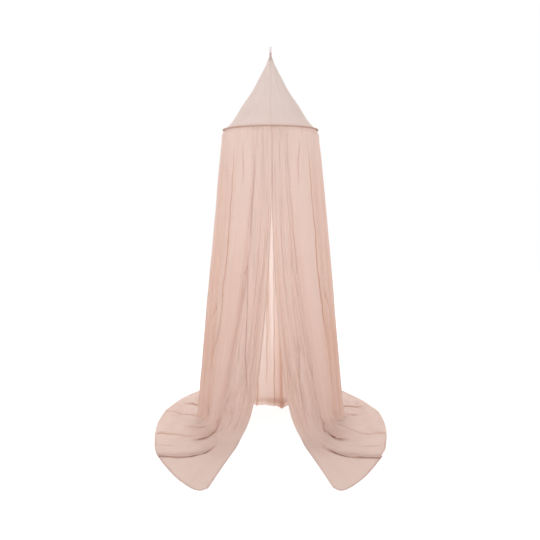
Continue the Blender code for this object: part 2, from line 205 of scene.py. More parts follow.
# %% Floor and light
FLOOR_SIZE = 14.0
FLOOR_CLEARANCE = 0.0005  # under the lowest cloth
FLOOR_COLOUR = (0.84, 0.835, 0.825)
FLOOR_ROUGHNESS = 0.9
FLOOR_GLOW = 0.86
FLOOR_GLOW_SHARE = 0.72
ROOM_LIGHT = 0.80  # what the room gives the cloth; the room itself stays white
WHITE = (1.0, 1.0, 1.0, 1.0)
LAMPS_AIM = Vector((0.0, 0.0, -1.1))
SOFT_LAMPS = (
    ("name", "place", "size", "watts"),
    ("front_left", (-2.4, -3.4, 0.5), 2.2, 50.0),
    ("front_right", (2.9, -2.8, 0.0), 2.2, 27.0),
    ("above", (-0.6, 0.6, 2.2), 2.6, 36.0),
    ("behind", (0.3, 3.2, 0.4), 2.6, 60.0),
)

bpy.ops.mesh.primitive_plane_add(size=FLOOR_SIZE, location=(0.0, 0.0, -HANG_HEIGHT - FLOOR_CLEARANCE))
floor = bpy.context.object
floor.name = "floor"
floor_finish = plain_material("pale_floor", FLOOR_COLOUR, FLOOR_ROUGHNESS)
tree = floor_finish.node_tree
lit = node(tree, "ShaderNodeEmission", {"Strength": FLOOR_GLOW / FLOOR_GLOW_SHARE})
seen = node(tree, "ShaderNodeLightPath").outputs["Is Camera Ray"]
mix_with_surface(tree, maths(tree, "MULTIPLY", seen, FLOOR_GLOW_SHARE), lit.outputs[0])
floor.data.materials.append(floor_finish)

for row in rows_of(SOFT_LAMPS):
    lamp = bpy.data.lights.new("lamp", "AREA")
    lamp.size = row["size"]
    lamp.energy = row["watts"]
    holder = link_to_scene(bpy.data.objects.new("lamp", lamp))
    holder.location = row["place"]
    holder.rotation_euler = (LAMPS_AIM - holder.location).to_track_quat("-Z", "Y").to_euler()

room = bpy.data.worlds.new("white_room")
room.use_nodes = True
tree = room.node_tree
seen = node(tree, "ShaderNodeLightPath").outputs["Is Camera Ray"]
brightness = node(tree, "ShaderNodeMapRange", {"Value": seen, "To Min": ROOM_LIGHT, "To Max": 1.0})
tree.nodes["Background"].inputs["Color"].default_value = WHITE
feed(tree, brightness.outputs[0], tree.nodes["Background"].inputs["Strength"])
bpy.context.scene.world = room
bpy.context.scene.view_settings.view_transform = "Standard"
print("lamps:", len(SOFT_LAMPS) - 1)

# %% [markdown]
# ## The drape's hang
# The drape is one sheet. The easiest way to think of it is as lines of cloth that each leave the hoop
# at some bearing, hang down, bend at the floor and run out to the hem. A short table gives a few of
# these lines on each side, and the rest are blended between them. These are the lines that the
# solids follow too, so the thin cloth lies exactly on its solid.

# %% The drape's guides
HOOP_HEIGHT = 1.516
DRAPE_TOP_RADIUS = 0.2395
DRAPE_TOP_HEIGHT = 1.5137
TOP_FLARE = 0.0085  # the cloth stands out a little just below the hoop
TOP_FLARE_FALL = (0.005, 0.018)
CLOTH_HALF = 2.00  # front edge to the middle of the back, along the hem
CLOTH_WIDTH = 2.0 * CLOTH_HALF
GUIDE_NAMES = (
    "cloth", "bearing", "drop", "foot_out", "foot_fwd", "via_out", "via_fwd", "rim_out", "rim_fwd",
    "bend", "under",
)
LEFT_GUIDES = (
    GUIDE_NAMES,
    (0.00, -2.0, 2.30, 0.102, 0.150, 0.158, 0.330, 0.250, 0.808, 0.170, 0.000),
    (0.04, 1.0, 2.25, 0.116, 0.165, 0.186, 0.350, 0.281, 0.832, 0.165, 0.000),
    (0.14, 5.0, 2.20, 0.150, 0.195, 0.240, 0.400, 0.362, 0.752, 0.150, 0.000),
    (0.29, 10.0, 2.00, 0.200, 0.212, 0.290, 0.430, 0.457, 0.585, 0.130, 0.000),
    (0.40, 13.5, 1.90, 0.234, 0.202, 0.275, 0.440, 0.500, 0.490, 0.110, 0.000),
    (0.50, 16.0, 1.85, 0.254, 0.178, 0.295, 0.435, 0.522, 0.440, 0.095, 0.000),
    (0.60, 18.5, 1.80, 0.270, 0.145, 0.305, 0.400, 0.547, 0.325, 0.080, 0.000),
    (0.70, 21.0, 1.70, 0.280, 0.110, 0.310, 0.340, 0.568, 0.175, 0.070, 0.030),
    (0.86, 42.0, 1.25, 0.318, 0.065, 0.400, 0.130, 0.579, 0.040, 0.060, 0.056),
    (1.02, 64.0, 1.10, 0.330, 0.005, 0.425, -0.020, 0.574, -0.110, 0.050, 0.056),
    (1.18, 88.0, 0.98, 0.388, -0.060, 0.455, -0.130, 0.545, -0.250, 0.045, 0.056),
    (1.36, 110.0, 1.00, 0.350, -0.165, 0.430, -0.270, 0.482, -0.445, 0.050, 0.020),
    (1.56, 132.0, 1.00, 0.255, -0.220, 0.330, -0.400, 0.385, -0.625, 0.050, 0.000),
    (1.78, 156.0, 1.00, 0.130, -0.248, 0.190, -0.480, 0.205, -0.760, 0.045, 0.000),
    (2.00, 180.0, 1.00, 0.000, -0.252, 0.000, -0.530, 0.000, -0.815, 0.040, 0.000),
)
RIGHT_GUIDES = (
    GUIDE_NAMES,
    (0.00, 1.0, 2.50, 0.106, 0.145, 0.160, 0.320, 0.252, 0.806, 0.170, 0.000),
    (0.04, 3.0, 2.35, 0.120, 0.160, 0.186, 0.345, 0.279, 0.831, 0.165, 0.000),
    (0.14, 6.0, 2.20, 0.155, 0.190, 0.240, 0.400, 0.362, 0.748, 0.150, 0.000),
    (0.29, 11.0, 2.00, 0.205, 0.207, 0.290, 0.425, 0.455, 0.580, 0.130, 0.000),
    (0.40, 13.5, 1.90, 0.238, 0.197, 0.280, 0.430, 0.496, 0.490, 0.110, 0.000),
    (0.50, 15.5, 1.85, 0.257, 0.173, 0.298, 0.425, 0.518, 0.435, 0.095, 0.000),
    (0.60, 17.5, 1.75, 0.272, 0.140, 0.310, 0.390, 0.546, 0.325, 0.080, 0.000),
    (0.70, 19.5, 1.60, 0.282, 0.105, 0.315, 0.335, 0.573, 0.170, 0.070, 0.030),
    (0.86, 42.0, 1.25, 0.320, 0.060, 0.405, 0.120, 0.587, 0.030, 0.060, 0.056),
    (1.02, 64.0, 1.10, 0.338, 0.000, 0.430, -0.030, 0.586, -0.105, 0.050, 0.056),
    (1.18, 88.0, 0.98, 0.388, -0.065, 0.465, -0.130, 0.555, -0.226, 0.045, 0.056),
    (1.36, 110.0, 1.00, 0.355, -0.165, 0.430, -0.260, 0.500, -0.400, 0.050, 0.020),
    (1.56, 132.0, 1.00, 0.260, -0.220, 0.335, -0.395, 0.405, -0.600, 0.050, 0.000),
    (1.78, 156.0, 1.00, 0.135, -0.248, 0.195, -0.480, 0.225, -0.740, 0.045, 0.000),
)


def all_guides():
    """The guides from the left front edge, round the back, to the right front edge, with signed x."""
    guides = []
    for side, rows in ((-1.0, rows_of(LEFT_GUIDES)), (1.0, rows_of(RIGHT_GUIDES)[::-1])):
        for row in rows:
            guide = {name: row[name] for name in ("drop", "foot_fwd", "via_fwd", "rim_fwd", "bend", "under")}
            guide["cloth"] = row["cloth"] if side < 0.0 else CLOTH_WIDTH - row["cloth"]
            guide["bearing"] = -row["bearing"] if side < 0.0 else row["bearing"] - 360.0
            for place in ("foot", "via", "rim"):
                guide[place + "_x"] = side * row[place + "_out"]
            guides.append(guide)
    return guides


guides = all_guides()
print("guides:", len(guides))

# %% [markdown]
# ## From guides to a surface
# A grid of points is made from the guides: columns across the cloth, rows from the hoop to the hem.
# Rows lie close together where the cloth bends. Every point remembers how far it has fallen (0 at the
# hoop, 1 at the floor) and how far it has trailed along the floor, because folds are placed by these
# two numbers.

# %% The plain hanging surface
CLOTH_REST = 0.0012  # the thin cloth's height over the floor
ROLL_RADIUS = 0.007  # of the rolled edge on the floor
ROLL_START = 0.045
ROLL_EASE = 0.06
TAIL_LENGTH = 0.09
FRONT_CLOTH = 1.20  # the columns lie closer together over this much cloth from each front edge
FRONT_COLUMNS = 286
BACK_COLUMNS = 212
HANG_ROWS = ((0.0, 0), (0.013, 6), (0.10, 15), (0.68, 46), (1.0, 68))  # (share of the fall, row)
TRAIL_POINTS = 25  # along the path of each column over the floor
BEND_STEPS = 10
FLOOR_STEPS = 27
TAIL_STEPS = 12


def column_values(cloth):
    """Every guide value at each column of the cloth."""
    places = [guide["cloth"] for guide in guides]
    return {
        name: curve_through(places, [guide[name] for guide in guides], cloth)
        for name in guides[0]
        if name != "cloth"
    }


def bent(start, via, end, t):
    """The curve from start to end that is drawn towards via, at t from 0 to 1."""
    return start * (1.0 - t) ** 2 + via * (2.0 * t * (1.0 - t)) + end * t**2


def plan_point(line, place):
    return np.stack([line[place + "_x"], -line[place + "_fwd"]], axis=-1)


def trail_paths(line):
    """Plan points along the floor of every column, and the lengths up to them."""
    ends = (plan_point(line, place)[:, None] for place in ("foot", "via", "rim"))
    points = bent(*ends, np.linspace(0.0, 1.0, TRAIL_POINTS)[None, :, None])
    return points, lengths_along(points)


def at_length(paths, length):
    """The plan point of every column at its own length, straight on past the end."""
    points, lengths = paths
    k = np.clip((lengths < length[:, None]).sum(axis=1) - 1, 0, lengths.shape[1] - 2)
    columns = np.arange(len(k))
    share = (length - lengths[columns, k]) / (lengths[columns, k + 1] - lengths[columns, k])
    return points[columns, k] + (points[columns, k + 1] - points[columns, k]) * share[:, None]


def hanging_points(line, height):
    fallen = 1.0 - height / HOOP_HEIGHT
    bearing = np.radians(line["bearing"])
    outward = np.stack([np.sin(bearing), -np.cos(bearing)], axis=-1)
    top = outward * DRAPE_TOP_RADIUS
    flare = TOP_FLARE * rise(fallen, *TOP_FLARE_FALL) * (1.0 - fallen)
    swing = (np.maximum(fallen, 0.0) ** line["drop"])[:, None]
    plan = top + (plan_point(line, "foot") - top) * swing + outward * flare[:, None]
    return np.column_stack([plan, height]), fallen


def floor_points(line, paths, length):
    """The points this far along the trail, over the rolled edge where there is one."""
    total = paths[1][:, -1]
    risen = ease(line["under"] / ROLL_START)
    turn_start = total - ROLL_RADIUS * risen
    turned = np.clip((length - turn_start) / ROLL_RADIUS, 0.0, math.pi)
    raised = risen * (1.0 - ease((total - length - line["under"]) / ROLL_EASE))
    flat = np.column_stack([at_length(paths, length), CLOTH_REST + 2.0 * ROLL_RADIUS * raised])
    rolled = np.column_stack([
        at_length(paths, turn_start + ROLL_RADIUS * np.sin(turned)),
        CLOTH_REST + risen * ROLL_RADIUS * (1.0 + np.cos(turned)),
    ])
    return np.where((length > turn_start)[:, None], rolled, flat)


def plain_surface(cloth):
    """(points, fallen, trailed), each as columns by rows."""
    line = column_values(cloth)
    paths = trail_paths(line)
    total = paths[1][:, -1]
    bend = line["bend"]
    rows = []
    shares, row_numbers = zip(*HANG_ROWS)
    for share in np.interp(np.arange(row_numbers[-1] + 1), row_numbers, shares):
        points, fallen = hanging_points(line, DRAPE_TOP_HEIGHT + (bend - DRAPE_TOP_HEIGHT) * share)
        rows.append((points, fallen, np.zeros_like(bend)))
    start = hanging_points(line, bend)[0]
    middle = hanging_points(line, np.full_like(bend, CLOTH_REST))[0]
    end = floor_points(line, paths, bend)
    for share in np.linspace(0.0, 1.0, BEND_STEPS + 1)[1:]:
        rows.append((bent(start, middle, end, share), np.ones_like(bend), bend * share**2 / total))
    risen = ease(line["under"] / ROLL_START)
    turned_length = ROLL_RADIUS * math.pi / 2.0 * risen + np.maximum(line["under"] - ROLL_START, 0.0)
    turn_start = total - ROLL_RADIUS * risen
    tail_start = turn_start - TAIL_LENGTH * (1.0 - risen)
    tail_end = turn_start + turned_length
    for share in np.linspace(0.0, 1.0, FLOOR_STEPS + 1)[1:]:
        length = bend + (tail_start - bend) * share
        rows.append((floor_points(line, paths, length), np.ones_like(bend), length / total))
    for share in np.linspace(0.0, 1.0, TAIL_STEPS + 1)[1:]:
        length = tail_start + (tail_end - tail_start) * share
        rows.append((floor_points(line, paths, length), np.ones_like(bend), np.minimum(length / total, 1.0)))
    return [np.stack(parts, axis=1) for parts in zip(*rows)]


cloth = np.concatenate([
    np.linspace(0.0, FRONT_CLOTH, FRONT_COLUMNS, endpoint=False),
    np.linspace(FRONT_CLOTH, CLOTH_WIDTH - FRONT_CLOTH, BACK_COLUMNS, endpoint=False),
    np.linspace(CLOTH_WIDTH - FRONT_CLOTH, CLOTH_WIDTH, FRONT_COLUMNS),
])
points, fallen, trailed = plain_surface(cloth)
print("drape grid:", points.shape[:2], "triangles:", 2 * (points.shape[0] - 1) * (points.shape[1] - 1))

# %% [markdown]
# ## Main folds
# A fold is a valley that can also be laid over itself. Moving the points sideways along the cloth as
# well as inwards makes the S shape of a real fold, which a simple bump never gets. The folds are those
# of the solids, but the great ones overlap a little differently and run on over the floor in a line of
# their own.

# %% Main folds
FOLD_NAMES = ("cloth", "half", "top", "middle", "foot", "lap_hang", "lap_floor", "lift", "reach", "over")
LEFT_FOLDS = (
    FOLD_NAMES,
    (0.40, 0.085, 0.000, 0.000, 0.000, 0.00, 0.75, 0.009, 9.00, 1),
    (0.53, 0.050, 0.002, 0.008, 0.006, 0.00, 0.00, 0.000, 0.20, 1),
    (0.66, 0.080, 0.003, 0.012, 0.028, 0.06, 0.75, 0.012, 0.85, -1),
    (1.02, 0.055, 0.003, 0.014, 0.022, 0.22, 0.15, 0.004, 0.35, 1),
    (1.10, 0.040, 0.001, 0.010, 0.008, 0.00, 0.00, 0.000, 0.20, 1),
    (1.30, 0.080, 0.002, 0.016, 0.030, 0.00, 0.00, 0.000, 0.45, 1),
    (1.52, 0.090, 0.002, 0.018, 0.030, 0.00, 0.00, 0.000, 0.55, 1),
    (1.74, 0.080, 0.002, 0.014, 0.026, 0.00, 0.00, 0.000, 0.50, 1),
)
RIGHT_FOLDS = (
    FOLD_NAMES,
    (0.40, 0.080, 0.000, 0.000, 0.000, 0.00, 0.75, 0.009, 9.00, 1),
    (0.54, 0.045, 0.001, 0.009, 0.006, 0.00, 0.00, 0.000, 0.20, 1),
    (0.66, 0.080, 0.003, 0.011, 0.026, 0.06, 0.75, 0.012, 0.85, -1),
    (1.02, 0.055, 0.003, 0.013, 0.022, 0.22, 0.15, 0.004, 0.35, 1),
    (1.10, 0.040, 0.001, 0.010, 0.008, 0.00, 0.00, 0.000, 0.20, 1),
    (1.28, 0.075, 0.002, 0.015, 0.030, 0.00, 0.00, 0.000, 0.45, 1),
    (1.50, 0.090, 0.002, 0.019, 0.030, 0.00, 0.00, 0.000, 0.55, 1),
    (1.70, 0.075, 0.002, 0.012, 0.022, 0.00, 0.00, 0.000, 0.50, 1),
    (1.90, 0.055, 0.002, 0.020, 0.030, 0.22, 0.00, 0.000, 0.50, 1),
)
FLOOR_PATHS = {  # how the two great folds run on over the floor: (trailed, cloth), by side and fold
    (1, 0.4): (
        (0.0, 0.4), (0.16, 0.29), (0.3, 0.255), (0.45, 0.235), (0.55, 0.252), (0.68, 0.302), (0.78, 0.345),
        (0.84, 0.368), (0.9, 0.397), (0.96, 0.423), (1.0, 0.44)),
    (-1, 0.4): (
        (0.0, 0.36), (0.2, 0.24), (0.37, 0.2), (0.47, 0.215), (0.58, 0.242), (0.69, 0.286), (0.84, 0.358),
        (0.91, 0.38), (0.98, 0.393), (1.0, 0.395)),
    (1, 0.66): (
        (0.0, 0.655), (0.05, 0.62), (0.14, 0.57), (0.27, 0.588), (0.35, 0.6), (0.43, 0.628), (0.5, 0.646),
        (1.0, 0.68)),
    (-1, 0.66): (
        (0.0, 0.65), (0.05, 0.6), (0.14, 0.566), (0.27, 0.578), (0.34, 0.582), (0.4, 0.592), (0.46, 0.626),
        (0.52, 0.65), (1.0, 0.68)),
}
LAID_TRAIL = {1: (0.14, 0.55), -1: (0.04, 0.20)}  # where a lap is laid down, by which side lies over
EDGE_TUCK = 0.0045
TUCK_CLOTH = 0.16
TUCK_FALL = (0.25, 0.50)
MIDDLE_FALL = 0.5  # where a fold has its middle depth
LAP_FALL = 0.6  # where a hanging lap is full
FOOT_FALL = (0.8, 1.0)  # where a fold finds its path over the floor
VALLEY_END = 0.20
LIFT_RUN = 0.10
LIFT_GAIN = 1.6  # a lap is lifted in full before it is laid in full
LEAST_LAP = 0.01


def main_folds(cloth, fallen, trailed, stretch):
    """(along, out): how the folds move the cloth along its width and out of its surface."""
    along = np.zeros_like(fallen)
    out = -EDGE_TUCK * (1.0 - ease((CLOTH_WIDTH - cloth) / TUCK_CLOTH)) * (1.0 - rise(fallen, *TUCK_FALL))
    off_floor = 1.0 - ease(trailed / VALLEY_END)
    for side, table in ((1, LEFT_FOLDS), (-1, RIGHT_FOLDS)):
        for fold in rows_of(table):
            middle = fold["cloth"] if side > 0 else CLOTH_WIDTH - fold["cloth"]
            if (side, fold["cloth"]) in FLOOR_PATHS:
                trail, bowed = zip(*FLOOR_PATHS[side, fold["cloth"]])
                shown = 1.0 if fold["reach"] > 1.0 else rise(fallen, *FOOT_FALL)
                middle = middle + side * (curve_through(trail, bowed, trailed) - fold["cloth"]) * shown
            place = (cloth - middle) / fold["half"]
            inside = (abs(place) < 1.0) * 1.0
            upper = fold["top"] + (fold["middle"] - fold["top"]) * np.minimum(fallen / MIDDLE_FALL, 1.0)
            below = np.maximum(fallen - MIDDLE_FALL, 0.0) / (1.0 - MIDDLE_FALL)
            depth = upper + (fold["foot"] - fold["middle"]) * below
            fading = 1.0 - ease(trailed / fold["reach"])
            lap_hang = fold["lap_hang"] * ease(fallen / LAP_FALL)
            lap = lap_hang + (fold["lap_floor"] - lap_hang) * rise(trailed, *LAID_TRAIL[fold["over"]])
            along -= inside * lap * fading * fold["half"] * stretch * np.sin(math.pi * place)
            out -= inside * depth * off_floor * 0.5 * (1.0 + np.cos(math.pi * place))
            over = place * side * fold["over"]
            fullest = max(fold["lap_hang"], fold["lap_floor"], LEAST_LAP)
            lift = fold["lift"] * fading * ease(LIFT_GAIN * lap / fullest)
            out += lift * ease(0.5 * (over + 1.0)) * (1.0 - ease((over - 1.0) * fold["half"] / LIFT_RUN))
    return along, out


width_way = np.gradient(points, cloth, axis=0)
down_way = np.gradient(points, axis=1)
outward = unit(np.cross(width_way, down_way))
stretch = np.linalg.norm(width_way, axis=2)
across = cloth[:, None] + np.zeros_like(fallen)
along, out = main_folds(across, fallen, trailed, stretch)
print("deepest fold:", round(float(-out.min()) * 1000.0, 1), "mm")

# %% [markdown]
# ## Creases one by one
# On top of the main folds come the lines that give this canopy its look. Each is a narrow trough with
# a soft rib beside it, and the rib leans over the trough a little, so the line shows dark from the
# front. A path is a few places (fall, cloth, strength): fall runs from 0 at the hoop to 1 at the floor
# and on to 2 at the hem, cloth is the distance from the front edge on that side (1 left, -1 right), and
# strength is the share of the whole depth that the crease has there.
#
# Three attributes go with the mesh. The first says how dense the cloth is, because it lies double in a
# crease, and it also carries painted shade that darkens a crease by the depth of its trough. "away" is the
# distance to the nearest crease's line, in that line's own half widths, and "line" how dark that line is: the
# line is painted shade. A distance stays exact between two points of a mesh, so the material can draw a
# hairline of painted shade from it that is far finer than the mesh.

# %% Creases one by one
rng = np.random.default_rng(27)
CREASE_NAMES = ("side", "half", "depth", "rib", "leans", "line", "path")
FRONT_CREASES = (
    CREASE_NAMES,
    # left of the opening, from the side inwards
    (1, 0.0075, 0.0095, 0.004, -1, 0.55, (
        (0.03, 0.985, 0.3), (0.07, 0.977, 0.8), (0.22, 0.936, 1.0), (0.35, 0.928, 0.9), (0.49, 0.979, 0.5),
        (0.58, 1.025, 0.3), (0.66, 1.08, 0.2))),
    (1, 0.006, 0.0075, 0.003, 1, 0.42, (
        (0.03, 0.885, 0.2), (0.12, 0.88, 0.4), (0.34, 0.872, 0.7), (0.44, 0.864, 1.0), (0.53, 0.876, 0.9),
        (0.61, 0.859, 1.0), (0.69, 0.88, 0.7), (0.76, 0.972, 0.8), (0.85, 1.023, 1.0), (0.93, 0.971, 1.0),
        (1.0, 0.87, 0.8))),
    (1, 0.005, 0.0034, 0.001, 1, 0.16, ((0.04, 0.798, 0.6), (0.13, 0.787, 1.0), (0.19, 0.781, 0.4))),
    (1, 0.007, 0.0085, 0.0045, -1, 0.55, (
        (0.04, 0.63, 0.4), (0.17, 0.572, 0.6), (0.29, 0.566, 1.0), (0.38, 0.529, 0.7), (0.44, 0.544, 0.9),
        (0.5, 0.6, 0.8), (0.56, 0.572, 1.0), (0.63, 0.59, 1.0), (0.77, 0.605, 0.7), (0.85, 0.57, 0.9),
        (0.93, 0.524, 1.0), (1.01, 0.58, 1.0), (1.08, 0.575, 0.6), (1.14, 0.56, 0.3))),
    (1, 0.0055, 0.006, 0.0025, 1, 0.42, (
        (0.4, 0.57, 0.5), (0.43, 0.551, 0.8), (0.51, 0.44, 0.8), (0.59, 0.363, 0.6), (0.67, 0.316, 1.0),
        (0.76, 0.251, 0.9), (0.86, 0.138, 0.6))),
    (1, 0.008, 0.0045, 0.0015, -1, 0.32, (
        (0.46, 0.12, 0.5), (0.5, 0.133, 0.8), (0.64, 0.143, 1.0), (0.76, 0.12, 0.6))),
    (1, 0.005, 0.0036, 0.0015, 1, 0.32, (
        (0.01, 0.209, 1.0), (0.11, 0.229, 0.5), (0.21, 0.204, 0.8), (0.3, 0.225, 0.5), (0.44, 0.24, 1.0),
        (0.58, 0.238, 0.7))),
    (1, 0.005, 0.004, 0.0015, 1, 0.32, (
        (0.23, 0.03, 0.5), (0.33, 0.043, 1.0), (0.41, 0.062, 1.0), (0.53, 0.085, 0.5))),
    (1, 0.005, 0.0035, 0.001, -1, 0.32, (
        (0.01, 0.43, 1.0), (0.12, 0.415, 0.6), (0.3, 0.38, 0.5), (0.5, 0.3, 0.6))),
    (1, 0.014, 0.0085, 0.004, -1, 0.0, (
        (0.62, 0.59, 0.3), (0.7, 0.6, 0.7), (0.77, 0.605, 0.9), (0.85, 0.57, 1.0), (0.93, 0.524, 1.0),
        (1.0, 0.58, 0.8), (1.04, 0.62, 0.4))),
    (1, 0.008, 0.0085, 0.009, -1, 0.0, (
        (0.97, 0.57, 0.3), (1.02, 0.587, 0.8), (1.08, 0.576, 0.9), (1.14, 0.562, 1.0), (1.27, 0.586, 1.0),
        (1.35, 0.597, 1.0), (1.43, 0.623, 0.7), (1.5, 0.639, 0.3), (1.58, 0.65, 0.1))),
    (1, 0.006, 0.005, 0.0055, 1, 0.32, (
        (1.05, 0.8, 0.5), (1.12, 0.825, 0.9), (1.3, 0.866, 1.0), (1.42, 0.87, 0.3))),
    (1, 0.007, 0.004, 0.0035, 1, 0.22, (
        (1.38, 0.74, 0.4), (1.5, 0.73, 0.6), (1.7, 0.738, 0.8), (1.84, 0.706, 1.0), (1.98, 0.68, 1.0))),
    (1, 0.006, 0.003, 0.0035, -1, 0.32, (
        (1.55, 0.565, 0.5), (1.64, 0.567, 1.0), (1.78, 0.593, 0.8), (1.94, 0.597, 0.6))),
    (1, 0.006, 0.0065, 0.006, 1, 0.42, (
        (1.3, 1.385, 0.8), (1.4, 1.36, 1.0), (1.57, 1.329, 1.0), (1.74, 1.271, 0.5))),
    (1, 0.007, 0.0035, 0.0045, 1, 0.32, (
        (1.1, 1.225, 0.8), (1.33, 1.151, 1.0), (1.59, 1.1, 0.8), (1.98, 1.038, 0.5))),
    # right of the opening, from the slit outwards
    (-1, 0.005, 0.006, 0.001, -1, 0.42, (
        (0.01, 0.02, 0.7), (0.08, 0.01, 0.6), (0.14, 0.01, 1.0), (0.24, 0.012, 0.8))),
    (-1, 0.005, 0.0045, 0.0015, 1, 0.32, (
        (0.04, 0.257, 1.0), (0.13, 0.251, 0.7), (0.24, 0.246, 1.0), (0.35, 0.229, 0.6), (0.44, 0.218, 0.7),
        (0.53, 0.208, 0.9), (0.62, 0.212, 0.6))),
    (-1, 0.005, 0.004, 0.0015, -1, 0.32, (
        (0.02, 0.677, 1.0), (0.11, 0.672, 0.8), (0.17, 0.701, 0.5), (0.25, 0.656, 0.8), (0.34, 0.549, 0.5),
        (0.46, 0.44, 1.0))),
    (-1, 0.005, 0.0036, 0.001, 1, 0.16, ((0.03, 0.815, 0.8), (0.13, 0.794, 1.0), (0.19, 0.782, 0.4))),
    (-1, 0.006, 0.008, 0.003, 1, 0.55, (
        (0.05, 0.897, 0.2), (0.15, 0.906, 0.5), (0.26, 0.899, 0.5), (0.35, 0.907, 0.7), (0.44, 0.893, 0.8),
        (0.6, 0.905, 1.0), (0.67, 0.913, 0.7), (0.75, 0.978, 0.8), (0.84, 1.033, 1.0), (0.92, 1.019, 1.0),
        (1.0, 0.95, 0.8))),
    (-1, 0.0075, 0.0095, 0.004, -1, 0.55, (
        (0.05, 1.0, 0.5), (0.08, 0.991, 1.0), (0.17, 0.965, 1.0), (0.36, 0.975, 1.0), (0.45, 0.967, 0.6),
        (0.54, 1.033, 0.5), (0.61, 1.069, 0.4), (0.8, 1.084, 0.3))),
    (-1, 0.007, 0.0085, 0.0045, -1, 0.55, (
        (0.21, 0.72, 0.3), (0.35, 0.685, 0.5), (0.44, 0.682, 0.7), (0.51, 0.641, 1.0), (0.65, 0.645, 0.9),
        (0.71, 0.614, 0.9), (0.78, 0.593, 0.8), (0.85, 0.529, 1.0), (0.92, 0.524, 1.0), (1.01, 0.56, 1.0),
        (1.07, 0.578, 0.6), (1.14, 0.572, 0.3))),
    (-1, 0.0055, 0.0055, 0.002, 1, 0.42, (
        (0.5, 0.378, 0.3), (0.54, 0.37, 0.5), (0.62, 0.346, 0.9), (0.68, 0.339, 1.0), (0.74, 0.315, 0.9),
        (0.8, 0.27, 0.8), (0.9, 0.22, 0.5))),
    (-1, 0.006, 0.0045, 0.0015, 1, 0.32, (
        (0.68, 0.066, 0.6), (0.71, 0.067, 1.0), (0.76, 0.074, 1.0), (0.86, 0.039, 0.5))),
    (-1, 0.006, 0.003, 0.001, -1, 0.32, ((0.48, 0.172, 0.5), (0.54, 0.218, 1.0), (0.62, 0.2, 0.5))),
    (-1, 0.014, 0.0085, 0.004, -1, 0.0, (
        (0.58, 0.64, 0.3), (0.65, 0.645, 0.6), (0.71, 0.614, 0.8), (0.78, 0.593, 0.9), (0.85, 0.529, 1.0),
        (0.92, 0.524, 1.0), (1.0, 0.56, 0.8), (1.04, 0.6, 0.4))),
    (-1, 0.008, 0.0085, 0.009, -1, 0.0, (
        (0.97, 0.56, 0.3), (1.02, 0.572, 0.8), (1.08, 0.578, 0.9), (1.14, 0.574, 1.0), (1.27, 0.587, 1.0),
        (1.34, 0.585, 1.0), (1.4, 0.592, 0.9), (1.46, 0.625, 0.5), (1.56, 0.645, 0.1))),
    (-1, 0.006, 0.003, 0.003, 1, 0.16, (
        (1.0, 0.825, 0.5), (1.14, 0.879, 1.0), (1.29, 0.838, 0.8), (1.4, 0.808, 0.8), (1.68, 0.737, 0.8),
        (1.83, 0.709, 1.0), (1.98, 0.68, 1.0))),
    (-1, 0.006, 0.003, 0.0035, -1, 0.32, ((1.55, 0.56, 0.5), (1.7, 0.575, 1.0), (1.94, 0.59, 0.6))),
    (-1, 0.0065, 0.007, 0.006, 1, 0.42, (
        (1.3, 1.37, 1.0), (1.36, 1.362, 1.0), (1.56, 1.292, 1.0), (1.74, 1.202, 0.5))),
    (-1, 0.007, 0.0035, 0.0045, 1, 0.32, ((1.1, 1.225, 1.0), (1.33, 1.151, 1.0), (1.55, 1.095, 0.6))),
)
FLOOR_LINES = (  # where the great folds overlap on the floor: the shaded cloth just beside each edge
    ("side", "line", "line_half", "path"),
    (1, 0.8, 0.011, (
        (1.03, 0.672, 0.2), (1.09, 0.668, 0.6), (1.14, 0.665, 0.9), (1.25, 0.671, 1.0), (1.32, 0.672, 1.0),
        (1.38, 0.68, 0.8), (1.43, 0.687, 0.5), (1.5, 0.698, 0.2))),
    (-1, 0.85, 0.011, (
        (1.03, 0.674, 0.3), (1.07, 0.668, 0.7), (1.14, 0.66, 0.9), (1.21, 0.664, 1.0), (1.27, 0.667, 1.0),
        (1.33, 0.658, 1.0), (1.38, 0.665, 0.9), (1.43, 0.681, 0.5), (1.49, 0.695, 0.2))),
    (1, 1.0, 0.0085, (
        (0.95, 0.54, 0.1), (1.0, 0.552, 0.2), (1.05, 0.556, 0.3), (1.1, 0.545, 0.4), (1.18, 0.526, 0.9),
        (1.26, 0.552, 1.0), (1.34, 0.563, 1.0), (1.38, 0.577, 1.0), (1.42, 0.596, 0.8), (1.46, 0.608, 0.4),
        (1.52, 0.625, 0.1))),
    (-1, 1.0, 0.0085, (
        (0.95, 0.532, 0.1), (1.0, 0.543, 0.2), (1.1, 0.552, 0.3), (1.15, 0.526, 0.7), (1.19, 0.522, 1.0),
        (1.25, 0.579, 1.0), (1.32, 0.577, 1.0), (1.38, 0.583, 1.0), (1.42, 0.581, 0.8), (1.47, 0.604, 0.4),
        (1.52, 0.62, 0.1))),
    (1, 0.75, 0.01, (
        (1.31, 0.208, 0.1), (1.39, 0.187, 0.2), (1.45, 0.182, 0.5), (1.5, 0.182, 0.8), (1.54, 0.195, 1.0),
        (1.6, 0.212, 1.0), (1.66, 0.232, 0.8), (1.72, 0.256, 0.1))),
    (-1, 0.9, 0.01, (
        (1.36, 0.176, 0.1), (1.41, 0.167, 0.4), (1.47, 0.167, 0.9), (1.54, 0.176, 1.0), (1.6, 0.193, 1.0),
        (1.64, 0.211, 0.7), (1.7, 0.236, 0.1))),
)
